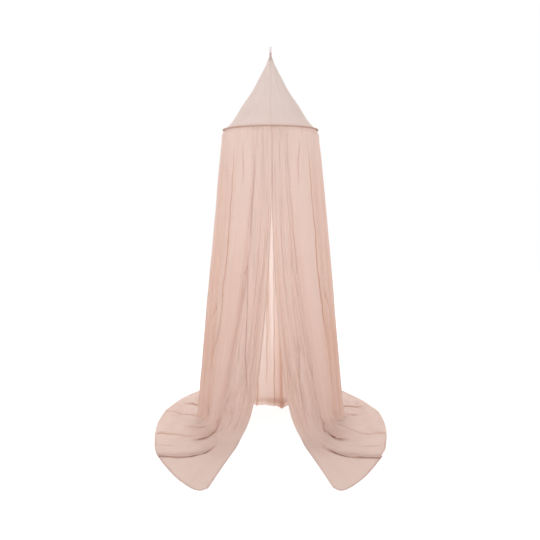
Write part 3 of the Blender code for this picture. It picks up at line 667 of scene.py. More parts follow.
BACK_CREASES = (  # round the back, as uneven as the front
    CREASE_NAMES,
    (1, 0.006, 0.005, 0.002, -1, 0.16, (
        (0.42, 1.966, 0.5), (0.6, 1.962, 1.0), (0.8, 1.963, 0.8), (0.92, 1.96, 0.4))),
    (1, 0.0045, 0.0035, 0.001, 1, 0.12, ((0.45, 1.985, 0.6), (0.6, 1.981, 1.0), (0.76, 1.983, 0.5))),
    (-1, 0.006, 0.005, 0.002, -1, 0.42, (
        (0.36, 1.968, 0.5), (0.6, 1.964, 0.7), (0.9, 1.963, 1.0), (1.1, 1.963, 0.6))),
    (1, 0.01, 0.0055, 0.0025, 1, 0.42, (
        (0.03, 1.2, 0.5), (0.3, 1.21, 0.8), (0.6, 1.18, 1.0), (0.9, 1.2, 1.0), (1.15, 1.19, 0.5))),
    (1, 0.0095, 0.006, 0.0025, -1, 0.42, (
        (0.05, 1.41, 0.8), (0.35, 1.39, 1.0), (0.7, 1.43, 0.6), (1.2, 1.4, 1.0))),
    (1, 0.0105, 0.0055, 0.0025, 1, 0.42, (
        (0.03, 1.63, 1.0), (0.25, 1.66, 0.6), (0.55, 1.62, 1.0), (0.85, 1.66, 0.9), (1.25, 1.64, 0.5))),
    (1, 0.0095, 0.006, 0.0025, -1, 0.42, (
        (0.08, 1.87, 0.8), (0.45, 1.84, 1.0), (0.8, 1.88, 0.7), (1.2, 1.86, 0.6))),
    (-1, 0.01, 0.0055, 0.0025, -1, 0.42, (
        (0.03, 1.18, 1.0), (0.35, 1.2, 0.6), (0.7, 1.17, 1.0), (1.1, 1.2, 0.6))),
    (-1, 0.0095, 0.006, 0.0025, 1, 0.42, (
        (0.04, 1.39, 0.6), (0.3, 1.41, 1.0), (0.6, 1.38, 0.7), (0.95, 1.41, 1.0), (1.25, 1.4, 0.5))),
    (-1, 0.0105, 0.0055, 0.0025, -1, 0.42, (
        (0.03, 1.6, 0.8), (0.4, 1.62, 1.0), (0.75, 1.58, 0.6), (1.2, 1.61, 1.0))),
    (-1, 0.0095, 0.006, 0.0025, 1, 0.42, (
        (0.06, 1.8, 1.0), (0.3, 1.82, 0.6), (0.65, 1.79, 1.0), (1.2, 1.82, 0.6))),
)
SHAPED = {"line_half": 0.0042}  # what the creases share
DRAWN = {"half": 0.008, "depth": 0.0, "rib": 0.0, "leans": 1}  # and what the floor lines share
CREASE_FADE = 0.05  # of the fall, at both ends of a crease
RIB_PLACE = 2.0  # half widths of the crease, from its middle to the rib's
RIB_WIDTH = 1.7  # half widths of the crease
RIB_LEAN = 0.7
WOBBLE = 0.0028
WOBBLE_PERIOD = (0.08, 0.15)
WOBBLE_PHASE = (0.0, 6.0)
FLOOR_WOBBLE = 0.0006  # folds that lie on the floor are straighter
FLOOR_WOBBLE_FALL = (0.96, 1.02)
FULL_CREASE_SHADE_DEPTH = 0.0085
LINE_REACH = 3.0  # how many of its own half widths away a crease's line is still known


def all_creases():
    tables = ((FRONT_CREASES, SHAPED), (FLOOR_LINES, DRAWN), (BACK_CREASES, SHAPED))
    return [{**shared, **row} for table, shared in tables for row in rows_of(table)]


def hand_creases(creases, cloth, fall):
    """(along, out, density with painted shade, away, line of painted shade) of all creases, at every point.
    """
    along, out, pleat, line = (np.zeros_like(fall) for _ in range(4))
    away = np.full_like(fall, LINE_REACH)
    wobble = WOBBLE + (FLOOR_WOBBLE - WOBBLE) * rise(fall, *FLOOR_WOBBLE_FALL)
    for crease in creases:
        falls, places, strengths = zip(*crease["path"])
        inside = np.clip(fall, falls[0], falls[-1])
        period = rng.uniform(*WOBBLE_PERIOD)
        waver = wobble * np.sin(2.0 * math.pi * fall / period + rng.uniform(*WOBBLE_PHASE))
        middle = curve_through(falls, places, inside) + waver
        from_edge = cloth if crease["side"] > 0 else CLOTH_WIDTH - cloth
        half = crease["half"]
        swell = ease((fall - falls[0]) / CREASE_FADE) * (1.0 - ease((fall - falls[-1]) / CREASE_FADE + 0.5))
        swell = swell * np.interp(inside, falls, strengths)
        aside = (from_edge - middle) * crease["leans"]
        trough = swell * bell(aside, half)
        rib = swell * bell(aside - RIB_PLACE * half, RIB_WIDTH * half)
        out += crease["rib"] * rib - crease["depth"] * trough
        along -= crease["side"] * crease["leans"] * RIB_LEAN * half * rib
        # painted shade: the deeper a crease's trough, the denser and darker the cloth is painted there
        pleat = np.maximum(pleat, trough * crease["depth"] / FULL_CREASE_SHADE_DEPTH)
        # painted shade: the material draws the crease's line dark from this distance and strength
        aside = aside / crease["line_half"]
        nearer = (swell > 0.0) & (crease["line"] > 0.0) & (abs(aside) < abs(away))
        away = np.where(nearer, aside, away)
        line = np.where(nearer, crease["line"] * swell * (1.0 - ease(abs(aside) / LINE_REACH)), line)
    return along, out, pleat, away, line


fall = fallen + trailed
creases = all_creases()
crease_along, crease_out, pleat, away, line = hand_creases(creases, across, fall)
along += crease_along
out += crease_out
print("creases:", len(creases))

# %% [markdown]
# ## Where the cloth lies double, with painted shade
# One strip of the back panel, just to the right of the opening's middle, is folded over on itself down to the
# floor; it is painted darker, partly for the double cloth and partly as painted shade. Beside it the painted
# shade is taken back, which paints light on the backlit single cloth. Soft upright bands elsewhere are
# painted shade where the fullness behind shows through the thin cloth, and a table paints broad shade over
# whole areas. All of it goes into the same attribute as the density.

# %% Double cloth and painted shade
FOLD_STRIP = (1.868, 1.963)  # cloth from the right front edge
STRIP_EASE = (0.05, 0.006)  # at its soft and at its sharp edge
STRIP_START = (0.30, 0.42)
STRIP_END = (1.00, 1.04)
STRIP_DENSITY_AND_SHADE = 0.09
# painted light: where the single back cloth is backlit, the painted shade is taken back so it shows bright
BRIGHT_CLOTH_END = 2.0  # beside the strip the cloth is single, which shows bright
BRIGHT_FALL = (0.25, 0.80)
BRIGHT_EASE = 0.1
BRIGHT_SHARE = 0.9
BANDS = 90
BAND_SWING = 0.02
BAND_TURNS = 2.5
BAND_HALF = (0.008, 0.030)
BAND_START = (-0.2, 0.7)
BAND_RUN = 0.5
BAND_EASE = (0.2, 0.4)  # at its start and at its end
BAND_SHADE = 0.09
# painted shade over broad areas of the drape, each row darker by its amount
PAINTED_SHADE_AREAS = (
    ("name", "amount", "cloth", "cloth_ease", "fall", "fall_ease"),  # cloth from the nearer front edge
    ("behind the opening", 0.26, (1.30, 2.10), 0.10, (0.10, 1.10), 0.20),
    ("foot of the back", 0.05, (1.80, 2.10), 0.14, (0.985, 1.04), 0.03),
    ("lower half", 0.06, (-0.10, 1.30), 0.05, (0.45, 0.95), 0.25),
    ("foot of the outer folds", 0.16, (0.83, 1.25), 0.06, (0.66, 1.05), 0.12),
    ("sides", 0.13, (0.90, 1.30), 0.08, (0.10, 0.80), 0.15),
    ("behind the great folds", 0.10, (0.62, 0.82), 0.05, (1.00, 1.40), 0.10),
    ("foot of the great folds", 0.08, (0.05, 0.75), 0.10, (0.98, 1.50), 0.10),
    ("on the floor", 0.07, (-0.10, 2.10), 0.05, (1.03, 2.20), 0.05),
)


def filled(table, cloth, fall):
    """What the rows of a table add up to, each within its own stretch of cloth and of fall."""
    nearer = np.minimum(cloth, CLOTH_WIDTH - cloth)
    total = np.zeros_like(fall)
    for row in rows_of(table):
        stretch_of_cloth = window(nearer, *row["cloth"], row["cloth_ease"])
        total += row["amount"] * stretch_of_cloth * window(fall, *row["fall"], row["fall_ease"])
    return total


def fold_strip(from_edge, fall):
    """(density, bright): the strip that lies double, and the single cloth beside it."""
    soft_edge, sharp_edge = STRIP_EASE
    sharp = ease((FOLD_STRIP[1] - from_edge) / sharp_edge + 0.5)
    soft = ease((from_edge - FOLD_STRIP[0]) / soft_edge + 1.0)
    density = STRIP_DENSITY_AND_SHADE * sharp * soft * rise(fall, *STRIP_START) * (1.0 - rise(fall, *STRIP_END))
    bright = window(from_edge, FOLD_STRIP[1], BRIGHT_CLOTH_END, sharp_edge)
    return density, bright * window(fall, *BRIGHT_FALL, BRIGHT_EASE)


def painted_shade_bands(cloth, fall):
    density = np.zeros_like(fall)
    for _ in range(BANDS):
        place = rng.uniform(0.0, CLOTH_WIDTH)
        middle = place + rng.normal(0.0, BAND_SWING) * np.sin(BAND_TURNS * fall + place)
        half = rng.uniform(*BAND_HALF)
        start = rng.uniform(*BAND_START)
        swell = ease((fall - start) / BAND_EASE[0]) * (1.0 - ease((fall - start - BAND_RUN) / BAND_EASE[1]))
        density += BAND_SHADE * swell * bell(cloth - middle, half)
    return density


strip, bright = fold_strip(CLOTH_WIDTH - across, fall)
# painted shade: the strip, the broad areas and the bands darken the cloth, and the backlit cloth is left
# light
pleat += (strip + filled(PAINTED_SHADE_AREAS, across, fall)) * (1.0 - BRIGHT_SHARE * bright) + painted_shade_bands(across, fall)
print("mean density:", round(float(pleat.mean()), 3))

# %% [markdown]
# ## Gathers and soft waves
# The drape is wider than the hoop, so it is gathered into the casing, and the fullness runs down in
# many small waves. They come from a seeded random generator, so they are uneven and yet the same on
# every run. Their widths are given in cloth, so they widen by themselves towards the floor.

# %% Gathers and soft waves
WAVES = 120
WAVE_LEAN = 0.035
WAVE_HALF = (0.009, 0.034)
WAVE_DEPTH = (0.0010, 0.0042)
WAVE_START = (-0.15, 0.45)
WAVE_RUN = (0.45, 1.1)
WAVE_TURNS = (2.2, 9.0)  # with the fall, and from wave to wave
WAVE_EASE = (0.25, 0.30)  # at its start and at its end
WAVE_ON_FLOOR = 0.25  # of its depth, over this fall
WAVE_FLOOR_FALL = (0.95, 1.20)
GATHERS = 190
GATHER_HALF = (0.006, 0.016)
GATHER_DEPTH = (0.0006, 0.0024)
GATHER_START = 0.012
GATHER_END = (0.02, 0.16)


def either_way(depths):
    """A random depth that goes in or out."""
    return rng.uniform(*depths) * rng.choice((-1.0, 1.0))


def soft_waves(cloth, fall):
    lift = np.zeros_like(fall)
    on_floor = 1.0 - (1.0 - WAVE_ON_FLOOR) * rise(fall, *WAVE_FLOOR_FALL)
    for _ in range(WAVES):
        place = rng.uniform(0.0, CLOTH_WIDTH)
        lean = rng.normal(0.0, WAVE_LEAN)
        half = rng.uniform(*WAVE_HALF)
        height = either_way(WAVE_DEPTH)
        start = rng.uniform(*WAVE_START)
        end = start + rng.uniform(*WAVE_RUN)
        middle = place + lean * np.sin(WAVE_TURNS[0] * fall + place * WAVE_TURNS[1])
        swell = ease((fall - start) / WAVE_EASE[0]) * (1.0 - ease((fall - end) / WAVE_EASE[1] + 1.0))
        lift += height * swell * on_floor * bell(cloth - middle, half)
    return lift


def hoop_gathers(cloth, fall):
    lift = np.zeros_like(fall)
    for _ in range(GATHERS):
        place = rng.uniform(0.0, CLOTH_WIDTH)
        half = rng.uniform(*GATHER_HALF)
        height = either_way(GATHER_DEPTH)
        end = rng.uniform(*GATHER_END)
        lift += height * ease(fall / GATHER_START) * (1.0 - ease(fall / end)) * bell(cloth - place, half)
    return lift


out += soft_waves(across, fall) + hoop_gathers(across, fall)
print("waves:", WAVES, "gathers:", GATHERS)

# %% [markdown]
# ## Wrinkles where the cloth meets the floor
# Where a panel bends onto the floor it buckles into short slanting wrinkles, and on the floor itself
# low wrinkles run outwards from the foot. Both are small, but without them the cloth looks ironed.

# %% Floor wrinkles
WRINKLES = (
    ("name", "count", "cloth", "fall", "slant", "half", "run", "height"),
    (
        "buckles above the floor", 190, (0.05, 1.2), (0.8, 1.12), 0.5,
        (0.005, 0.012), (0.015, 0.06), (0.0012, 0.0034),
    ),
    (
        "puckers of the panels", 210, (0.05, 0.52), (0.7, 1.03), 0.9,
        (0.004, 0.008), (0.008, 0.024), (0.002, 0.0045),
    ),
    (
        "cross buckles at the main fold", 26, (0.48, 0.62), (0.8, 0.93), 0.1,
        (0.012, 0.026), (0.006, 0.01), (0.002, 0.004),
    ),
    (
        "buckles at the back", 90, (1.2, 2.0), (0.88, 1.12), 0.5,
        (0.01, 0.02), (0.015, 0.06), (0.0012, 0.0034),
    ),
    (
        "low waves on the floor", 90, (0.0, 2.0), (1.15, 1.95), 0.25,
        (0.015, 0.06), (0.05, 0.3), (0.0008, 0.003),
    ),
    (
        "short waves on the lobes", 110, (0.62, 1.45), (1.05, 1.8), 0.6,
        (0.007, 0.018), (0.05, 0.2), (0.0014, 0.004),
    ),
)


def wrinkles(cloth, fall):
    """Short ridges and hollows, limited along their run, that slant across the cloth."""
    lift = np.zeros_like(fall)
    for kind in rows_of(WRINKLES):
        for _ in range(kind["count"]):
            side = rng.choice((-1.0, 1.0))
            place = rng.uniform(*kind["cloth"])
            middle = place if side > 0.0 else CLOTH_WIDTH - place
            at = rng.uniform(*kind["fall"])
            slant = rng.uniform(-kind["slant"], kind["slant"])
            half = rng.uniform(*kind["half"])
            run = rng.uniform(*kind["run"])
            height = either_way(kind["height"])
            lift += height * bell(cloth - middle - slant * (fall - at), half) * bell(fall - at, run)
    return lift


out += wrinkles(across, fall)
print("kinds of wrinkle:", len(WRINKLES) - 1)

# %% [markdown]
# ## Painted warm shade in the hollows
# The hollows get painted shade: light that reaches the bottom of a hollow has gone through the dyed cloth
# more often, so it comes back warmer, not greyer, and a denser, warmer colour is painted there in its place.
# A hollow is where the cloth lies deeper than its own average over a few centimetres. The front edges, the
# cloth under the hoop and the feet of the panels are also the most crinkled, which a last attribute keeps.

# %% Painted shade in the hollows, and crinkled places
HOLLOW_SPAN = 11  # columns
HOLLOW_FULL = 0.004
HOLLOW_SHADE = 0.36
CRINKLED = (
    ("name", "amount", "cloth", "cloth_ease", "fall", "fall_ease"),
    ("beside the opening", 0.6, (-0.10, 0.32), 0.15, (-0.10, 1.15), 0.20),
    ("under the hoop", 0.5, (-0.10, 2.10), 0.10, (-0.10, 0.22), 0.20),
    ("feet of the panels", 0.5, (-0.10, 0.60), 0.10, (0.72, 1.10), 0.15),
    ("all over", 0.3, (-0.10, 2.10), 0.10, (-0.20, 2.20), 0.10),
)


def mean_across(values, span):
    """Every value's mean over a few columns on both sides of it; the ends are mirrored."""
    side = span // 2
    mirrored = np.concatenate([values[side:0:-1], values, values[-2:-side - 2:-1]])
    sums = np.cumsum(np.concatenate([np.zeros((1, values.shape[1])), mirrored]), axis=0)
    return (sums[span:] - sums[:-span]) / span


hollow = np.clip((mean_across(out, HOLLOW_SPAN) - out) / HOLLOW_FULL, 0.0, 1.0)
# painted shade: hollows are painted denser and warmer
pleat = np.clip(pleat + HOLLOW_SHADE * hollow, 0.0, 1.0)
crinkled = filled(CRINKLED, across, fall)
print("share of hollows:", round(float(hollow.mean()), 3))

# %% [markdown]
# ## The drape as a mesh
# The grid becomes a mesh of quads with a UV map in metres, so that the weave has its true size all
# over the cloth. It stays a single thin surface: light can then pass through it once, as it does
# through one layer of muslin.

# %% Build the drape
EDGE_DRAWN_BACK = 0.016  # the front edges are pulled apart a little where they come down to the floor
EDGE_DRAWN_FALL = 1.13
EDGE_DRAWN_RUN = 0.13
EDGE_DRAWN_CLOTH = 0.20
BACK_TOE = 0.024  # the back puts a small toe forward where it comes down to the floor
TOE_FALL = 1.014
TOE_ABOVE = 0.030
TOE_BEHIND = 0.060
TOE_CLOTH = (1.66, 1.90)  # from the nearer front edge
TOE_LEFT_SHARE = 0.45  # the toe is smaller on the left
TOE_MIDDLE_CLOTH = (1.93, 2.03)  # and grows to its full size here, from the left front edge
TOP_EDGE_UNDER_HOOP = 0.0011  # below the middle of the wire, where the casing's lower lip is
ROLLED_TRAIL = 0.5  # beyond this, cloth that has turned under keeps no folds
WELD = 0.00001


def place_on_floor(moved):
    moved[..., 2] = np.maximum(moved[..., 2], CLOTH_REST)
    moved[..., 2] -= HANG_HEIGHT
    return moved


def mesh_object(name, points, faces):
    mesh = bpy.data.meshes.new(name)
    mesh.from_pydata(points.tolist(), [], faces.tolist())
    return link_to_scene(bpy.data.objects.new(name, mesh))


def cloth_object(name, grids, weld=False):
    """A mesh from grids of points, columns by rows, each with its metres across and down as a UV map."""
    points, quads, corners = [], [], []
    count = 0
    for grid, across_metres, down_metres in grids:
        columns, rows = grid.shape[:2]
        index = count + np.arange(columns * rows).reshape(columns, rows)
        uv = np.stack(np.broadcast_arrays(across_metres, down_metres), axis=-1)
        for values, taken in ((index, quads), (uv, corners)):
            four = (values[:-1, :-1], values[:-1, 1:], values[1:, 1:], values[1:, :-1])
            taken.append(np.stack(four, axis=2))
        points.append(grid.reshape(-1, 3))
        count += columns * rows
    quads = np.concatenate([each.reshape(-1, 4) for each in quads])
    made = mesh_object(name, np.concatenate(points), quads)
    layer = made.data.uv_layers.new(name="cloth_metres")
    corners = np.concatenate([each.reshape(-1, 2) for each in corners])
    layer.data.foreach_set("uv", corners.astype(np.float32).ravel())
    if weld:
        welded = bmesh.new()
        welded.from_mesh(made.data)
        bmesh.ops.remove_doubles(welded, verts=welded.verts, dist=WELD)
        welded.to_mesh(made.data)
        welded.free()
    made.data.shade_smooth()
    print(name, "quads:", len(quads))
    return made


def mark(piece, **values):
    """Keep a value for every point of the mesh, for the material."""
    for name, value in values.items():
        layer = piece.data.attributes.new(name, "FLOAT", "POINT")
        layer.data.foreach_set("value", np.asarray(value, np.float32).ravel())


down_metres = lengths_along(points)
lying = np.maximum(outward[..., 2], 0.0)
out = np.where(trailed > ROLLED_TRAIL, out * ease(lying), out)
from_front = np.minimum(across, CLOTH_WIDTH - across)
drawn_back = EDGE_DRAWN_BACK * bell(fall - EDGE_DRAWN_FALL, EDGE_DRAWN_RUN)
along += np.where(across < CLOTH_HALF, 1.0, -1.0) * drawn_back * (1.0 - ease(from_front / EDGE_DRAWN_CLOTH))
moved = points + unit(width_way) * along[..., None] + outward * out[..., None]
drape_grid = place_on_floor(moved)
toe = bell(fall - TOE_FALL, np.where(fall < TOE_FALL, TOE_ABOVE, TOE_BEHIND)) * rise(from_front, *TOE_CLOTH)
toe *= TOE_LEFT_SHARE + (1.0 - TOE_LEFT_SHARE) * rise(across, *TOE_MIDDLE_CLOTH)
drape_grid[..., 1] -= BACK_TOE * toe
drape_grid[:, 0, 2] = HOOP_HEIGHT - TOP_EDGE_UNDER_HOOP - HANG_HEIGHT
drape = cloth_object("drape_cloth", [(drape_grid, across, down_metres)])
mark(drape, pleat=pleat, away=away, line=line, crinkled=crinkled)
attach(drape, "root")
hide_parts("drape")

# %% [markdown]
# ## Cone
# The cone hangs from the tip and is pulled down by the hoop, so it dips inwards near its top and is
# almost smooth. It is sewn from two panels, with one seam down the front and one down the back.
# Turning a profile would do for a plain cone, but two grids let each panel keep the straight weave
# of the flat piece it was cut from, and the seams pull the cloth into faint ridges.

# %% Build the cone
CONE_LINE = np.array([  # (radius, height) from the tip down
    (0.0069, 1.898), (0.0180, 1.868), (0.0520, 1.799), (0.0960, 1.716),
    (0.1470, 1.641), (0.1900, 1.570), (0.2160, 1.538), (0.2368, 1.5187),
])
PANEL_COLUMNS = 180
CONE_ROWS = 150
CONE_OPENING = 0.51  # how far the flat panel opens, per radian round the cone
TIP_LENGTH = 0.0135  # from the point where the cone would close to its first row
CONE_WAVES = ((0.0009, 7.0, 0.6), (0.0007, 17.0, 2.0), (0.0004, 31.0, 1.0))
SEAM_RIDGE = 0.0005
SEAM_HALF = 0.003
SEAM_START = 0.1  # of the way down
DOUBLE_CLOTH = {"seam": 0.10, "casing": 0.22, "tip": 0.45}  # how dense it is in these places
DOUBLE_SEAM_HALF = 0.005
DOUBLE_CASING = (0.965, 0.980)  # of the way down
DOUBLE_TIP = 0.10
SEAM_LINE_HALF = 0.004
SEAM_LINE = 0.03  # how dark it is in the upper half
SEAM_LINE_MORE = 0.05  # and how much darker below
SEAM_LINE_DOWN = (0.50, 0.65)
SEAM_LINE_ASIDE = (0.006, 0.014)
CONE_CRINKLED = 0.25


def cone_panel(start):
    """Half of the cone, from one seam to the other: (points, across, down)."""
    lengths = lengths_along(CONE_LINE)
    run = np.linspace(0.0, lengths[-1], CONE_ROWS)
    radius, height = (curve_through(lengths, values, run)[None, :] for values in CONE_LINE.T)
    turn = np.linspace(start, start + math.pi, PANEL_COLUMNS + 1)[:, None]
    share = run[None, :] / lengths[-1]
    wave = sum(size * np.sin(count * turn + shift) for size, count, shift in CONE_WAVES)
    nearer_seam = np.minimum(turn - start, start + math.pi - turn) * radius
    ridge = SEAM_RIDGE * bell(nearer_seam, SEAM_HALF) * ease(share / SEAM_START)
    grid = round_the_middle(turn, radius + wave * np.sin(math.pi * share) + ridge, height - HANG_HEIGHT)
    flat_turn = (turn - start - math.pi / 2.0) * CONE_OPENING
    flat_run = run[None, :] + TIP_LENGTH
    return grid, flat_run * np.sin(flat_turn), flat_run * np.cos(flat_turn)


def point_places(piece):
    places = np.zeros(len(piece.data.vertices) * 3)
    piece.data.vertices.foreach_get("co", places)
    return places.reshape(-1, 3)


cone = cloth_object("cone_cloth", [cone_panel(0.0), cone_panel(math.pi)], weld=True)
places = point_places(cone)
aside = places[:, 0]
down = (CONE_LINE[0, 1] - HANG_HEIGHT - places[:, 2]) / (CONE_LINE[0, 1] - CONE_LINE[-1, 1])
double = DOUBLE_CLOTH["seam"] * bell(aside, DOUBLE_SEAM_HALF)
double += DOUBLE_CLOTH["casing"] * rise(down, *DOUBLE_CASING)
double += DOUBLE_CLOTH["tip"] * (1.0 - ease(down / DOUBLE_TIP))
seam_line = SEAM_LINE + SEAM_LINE_MORE * rise(down, *SEAM_LINE_DOWN)
mark(
    cone,
    pleat=np.clip(double, 0.0, 1.0),
    away=np.clip(aside / SEAM_LINE_HALF, -LINE_REACH, LINE_REACH),
    line=seam_line * (1.0 - rise(abs(aside), *SEAM_LINE_ASIDE)),
    crinkled=np.full(len(places), CONE_CRINKLED),
)
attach(cone, "root")
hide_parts("cone_top")

# %% [markdown]
# ## Hoop casing
# The casing is a strip folded round the wire, with both of its lips turned inwards. It is built as
# the same turned section, with a finer grid, so that the seam can pucker a little between stitches.

# %% Build the hoop casing
HOOP_RADIUS = 0.2455
WIRE_RADIUS = 0.003
CASING_RADIUS = WIRE_RADIUS + 0.0007
LIP_HALF_GAP = 0.0012
LIP_LENGTH = 0.0065
LIP_POINTS = np.array([1.0, 0.66, 0.33])  # shares of its length
CASING_COLUMNS = 480
CASING_ARC = 18
PUCKER = 0.05
PUCKER_TURNS = (60.0, 13.0)


def casing_grid():
    reach = math.pi - math.asin(LIP_HALF_GAP / CASING_RADIUS)
    angles = np.linspace(reach, -reach, CASING_ARC)
    section_r = HOOP_RADIUS + CASING_RADIUS * np.cos(angles)
    inner = section_r[0] - LIP_LENGTH * LIP_POINTS
    lip = np.full(len(LIP_POINTS), LIP_HALF_GAP)
    section_r = np.concatenate([inner, section_r, inner[::-1]])
    section_z = np.concatenate([lip, CASING_RADIUS * np.sin(angles), -lip])
    turn = np.linspace(0.0, 2.0 * math.pi, CASING_COLUMNS + 1)[:, None]
    pucker = 1.0 + PUCKER * np.sin(PUCKER_TURNS[0] * turn) * np.sin(PUCKER_TURNS[1] * turn + 1.0)
    radius = HOOP_RADIUS + (section_r - HOOP_RADIUS) * pucker
    grid = round_the_middle(turn, radius, section_z * pucker + (HOOP_HEIGHT - HANG_HEIGHT))
    return grid, turn * HOOP_RADIUS, lengths_along(np.column_stack([section_r, section_z]))[None, :]


casing = cloth_object("hoop_casing_cloth", [casing_grid()], weld=True)
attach(casing, "root")
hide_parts("hoop_casing")

# %% [markdown]
# ## Hems
# The two front edges and the bottom edge are turned in and sewn. A hem is a narrow band of cloth
# folded round the edge, so each is a strip with a U-shaped section that takes its points from the
# edge of the drape. It could be painted on, but then the edge would have no thickness from close by.

# %% Fold the hems
HEM_LIFT = 0.0006  # between the drape and each face of its hem
HEM_CLEARANCE = 0.0003  # over the floor
FRONT_HEM_LINES = 3  # columns of the drape under a front hem
BOTTOM_HEM_LINES = 2  # rows under the bottom hem
drape_out = unit(np.cross(np.gradient(drape_grid, axis=0), np.gradient(drape_grid, axis=1)))
hem_edges = {
    "front_hem_left": lambda values: values[:FRONT_HEM_LINES],
    "front_hem_right": lambda values: values[:-FRONT_HEM_LINES - 1:-1],
    "bottom_hem": lambda values: np.swapaxes(values[:, :-BOTTOM_HEM_LINES - 1:-1], 0, 1),
}


def folded_round(lines):
    return np.concatenate([lines[::-1], lines[:1], lines])


def hem_faces(take, lift):
    """The lines of points under the hem, moved out of the cloth by lift, from the edge inwards."""
    moved = take(drape_grid) + take(drape_out) * lift
    moved[..., 2] = np.maximum(moved[..., 2], HEM_CLEARANCE - HANG_HEIGHT)
    return moved


def hem(name, take):
    lines = take(drape_grid)
    beyond = lines[:1] + unit(lines[:1] - lines[1:2]) * HEM_LIFT
    grid = np.concatenate([hem_faces(take, -HEM_LIFT)[::-1], beyond, hem_faces(take, HEM_LIFT)])
    made = cloth_object(name, [(grid, folded_round(take(across)), folded_round(take(down_metres)))])
    mark(made, crinkled=folded_round(take(crinkled)))
    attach(made, "root")
    return made


hems = [hem(name, take) for name, take in hem_edges.items()]

# %% [markdown]
# ## Stitches
# Every seam of muslin shows a row of short stitches. Each stitch here is a small eight-sided grain of
# thread. They are set out along a path at an even pitch, as a sewing machine sets them.

# %% Sew the stitches
STITCH_PITCH = 0.0040
STITCH_LENGTH = 0.0028
STITCH_RADIUS = 0.00035
STITCH_LIFT = 0.0008
STITCH_AIM = 0.3  # of the pitch: the path's direction is taken between the places this far on and back
STITCH_FACES = np.array([
    (0, 1, 2), (0, 2, 3), (0, 3, 4), (0, 4, 1), (5, 2, 1), (5, 3, 2), (5, 4, 3), (5, 1, 4),
])
STITCH_CORNERS = 6
SEAM_ASIDE = 0.003  # from a cone seam to its stitches
SEAM_POINTS = 200
SEAM_POINTS_TIED = 6  # at the tip, where no stitch shows
ALLOWANCE_WIDTH = 0.005  # from the lower edge of the cone to its stitches
ALLOWANCE_POINTS = 400
TACK_HEIGHTS = np.arange(1.9000, 1.9050, 0.0008)  # the rows that hold the two legs of the loop together
TACK_HALF_WIDTH = 0.0045
TACK_OUT = 0.0010
TACK_PITCH = 0.0018
TACK_LENGTH = 0.0015


def read_along(lengths, values, at):
    """Values that go with the points of a line, read at any places along it."""
    return np.stack([np.interp(at, lengths, axis) for axis in values.T], axis=-1)


def stitched(name, runs, pitch=STITCH_PITCH, length=STITCH_LENGTH):
    """Stitches along runs of points, each a pair: the points and the way out of the cloth there."""
    corners = []
    for path, outs in runs:
        lengths = lengths_along(path)
        at = np.arange(0.5 * pitch, lengths[-1], pitch)
        ahead, back = (read_along(lengths, path, at + way * STITCH_AIM * pitch) for way in (1.0, -1.0))
        onward = unit(ahead - back)
        raised = unit(read_along(lengths, outs, at))
        sideways = unit(np.cross(onward, raised))
        centre = read_along(lengths, path, at) + raised * STITCH_LIFT
        ends = onward * (0.5 * length)
        belly = [way * STITCH_RADIUS for way in (sideways, raised, -sideways, -raised)]
        corners.append(np.stack([centre + step for step in (ends, *belly, -ends)], axis=1).reshape(-1, 3))
    corners = np.concatenate(corners)
    count = len(corners) // STITCH_CORNERS
    faces = (np.arange(count)[:, None, None] * STITCH_CORNERS + STITCH_FACES).reshape(-1, 3)
    made = mesh_object(name, corners, faces)
    made.data.shade_smooth()
    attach(made, "root")
    print(name, "stitches:", count)
    return made


hem_runs = []
for take in hem_edges.values():
    path, outs = take(drape_grid)[-1], take(drape_out)[-1]
    hem_runs += [(path, outs), (path, -outs)]
hem_runs.pop()  # it would be under the bottom hem
hem_stitches = stitched("hem_stitches", hem_runs)

radii, heights = CONE_LINE.T
faces_out, faces_up = unit(np.array([heights[-2] - heights[-1], radii[-1] - radii[-2]]))
sewn_radius = radii[-1] - ALLOWANCE_WIDTH * faces_up
sewn_height = heights[-1] + ALLOWANCE_WIDTH * faces_out - HANG_HEIGHT
turn = np.linspace(0.0, 2.0 * math.pi, ALLOWANCE_POINTS)
cone_runs = [(round_the_middle(turn, sewn_radius, sewn_height), round_the_middle(turn, faces_out, faces_up))]
seam_heights = np.linspace(heights[0], heights[-1], SEAM_POINTS)[SEAM_POINTS_TIED:]
seam_radii = curve_through(-heights, radii, -seam_heights)
for front in (-1.0, 1.0):
    aside = np.full_like(seam_radii, SEAM_ASIDE)
    path = np.column_stack([aside, front * seam_radii, seam_heights - HANG_HEIGHT])
    cone_runs.append((path, np.broadcast_to([0.0, front * faces_out, faces_up], path.shape)))
cone_stitches = stitched("cone_stitches", cone_runs)

tack_runs = []
for height in TACK_HEIGHTS - HANG_HEIGHT:
    for front in (-1.0, 1.0):
        path = np.array([(side * TACK_HALF_WIDTH, front * TACK_OUT, height) for side in (-1.0, 1.0)])
        tack_runs.append((path, np.broadcast_to([0.0, front, 0.0], path.shape)))
loop_stitches = stitched("loop_stitches", tack_runs, TACK_PITCH, TACK_LENGTH)

# %% [markdown]
# ## Hanging loop
# The loop is one flat tape: up, round the eye and down again into the cone's tip. It is a thin closed
# band here, because its edge is close enough to the eye to show a thickness.

# %% Build the hanging loop
TAPE_WIDTH = 0.011
TAPE_THICKNESS = 0.0012
LEG_HALF_GAP = 0.0012
SEWN_IN = 0.020
LOOP_LOW = CONE_LINE[0, 1] - SEWN_IN - HANG_HEIGHT
EYE_LOW = -0.034
EYE_HALF_WIDTH = 0.0075
EYE_FULLNESS = 1.3
TAPE_COLUMNS = 9
LEG_POINTS = 12
EYE_POINTS = 24
TOP_CLEARANCE = 0.0002
LOOP_SHADE = (0.024, 0.038)  # from the top down


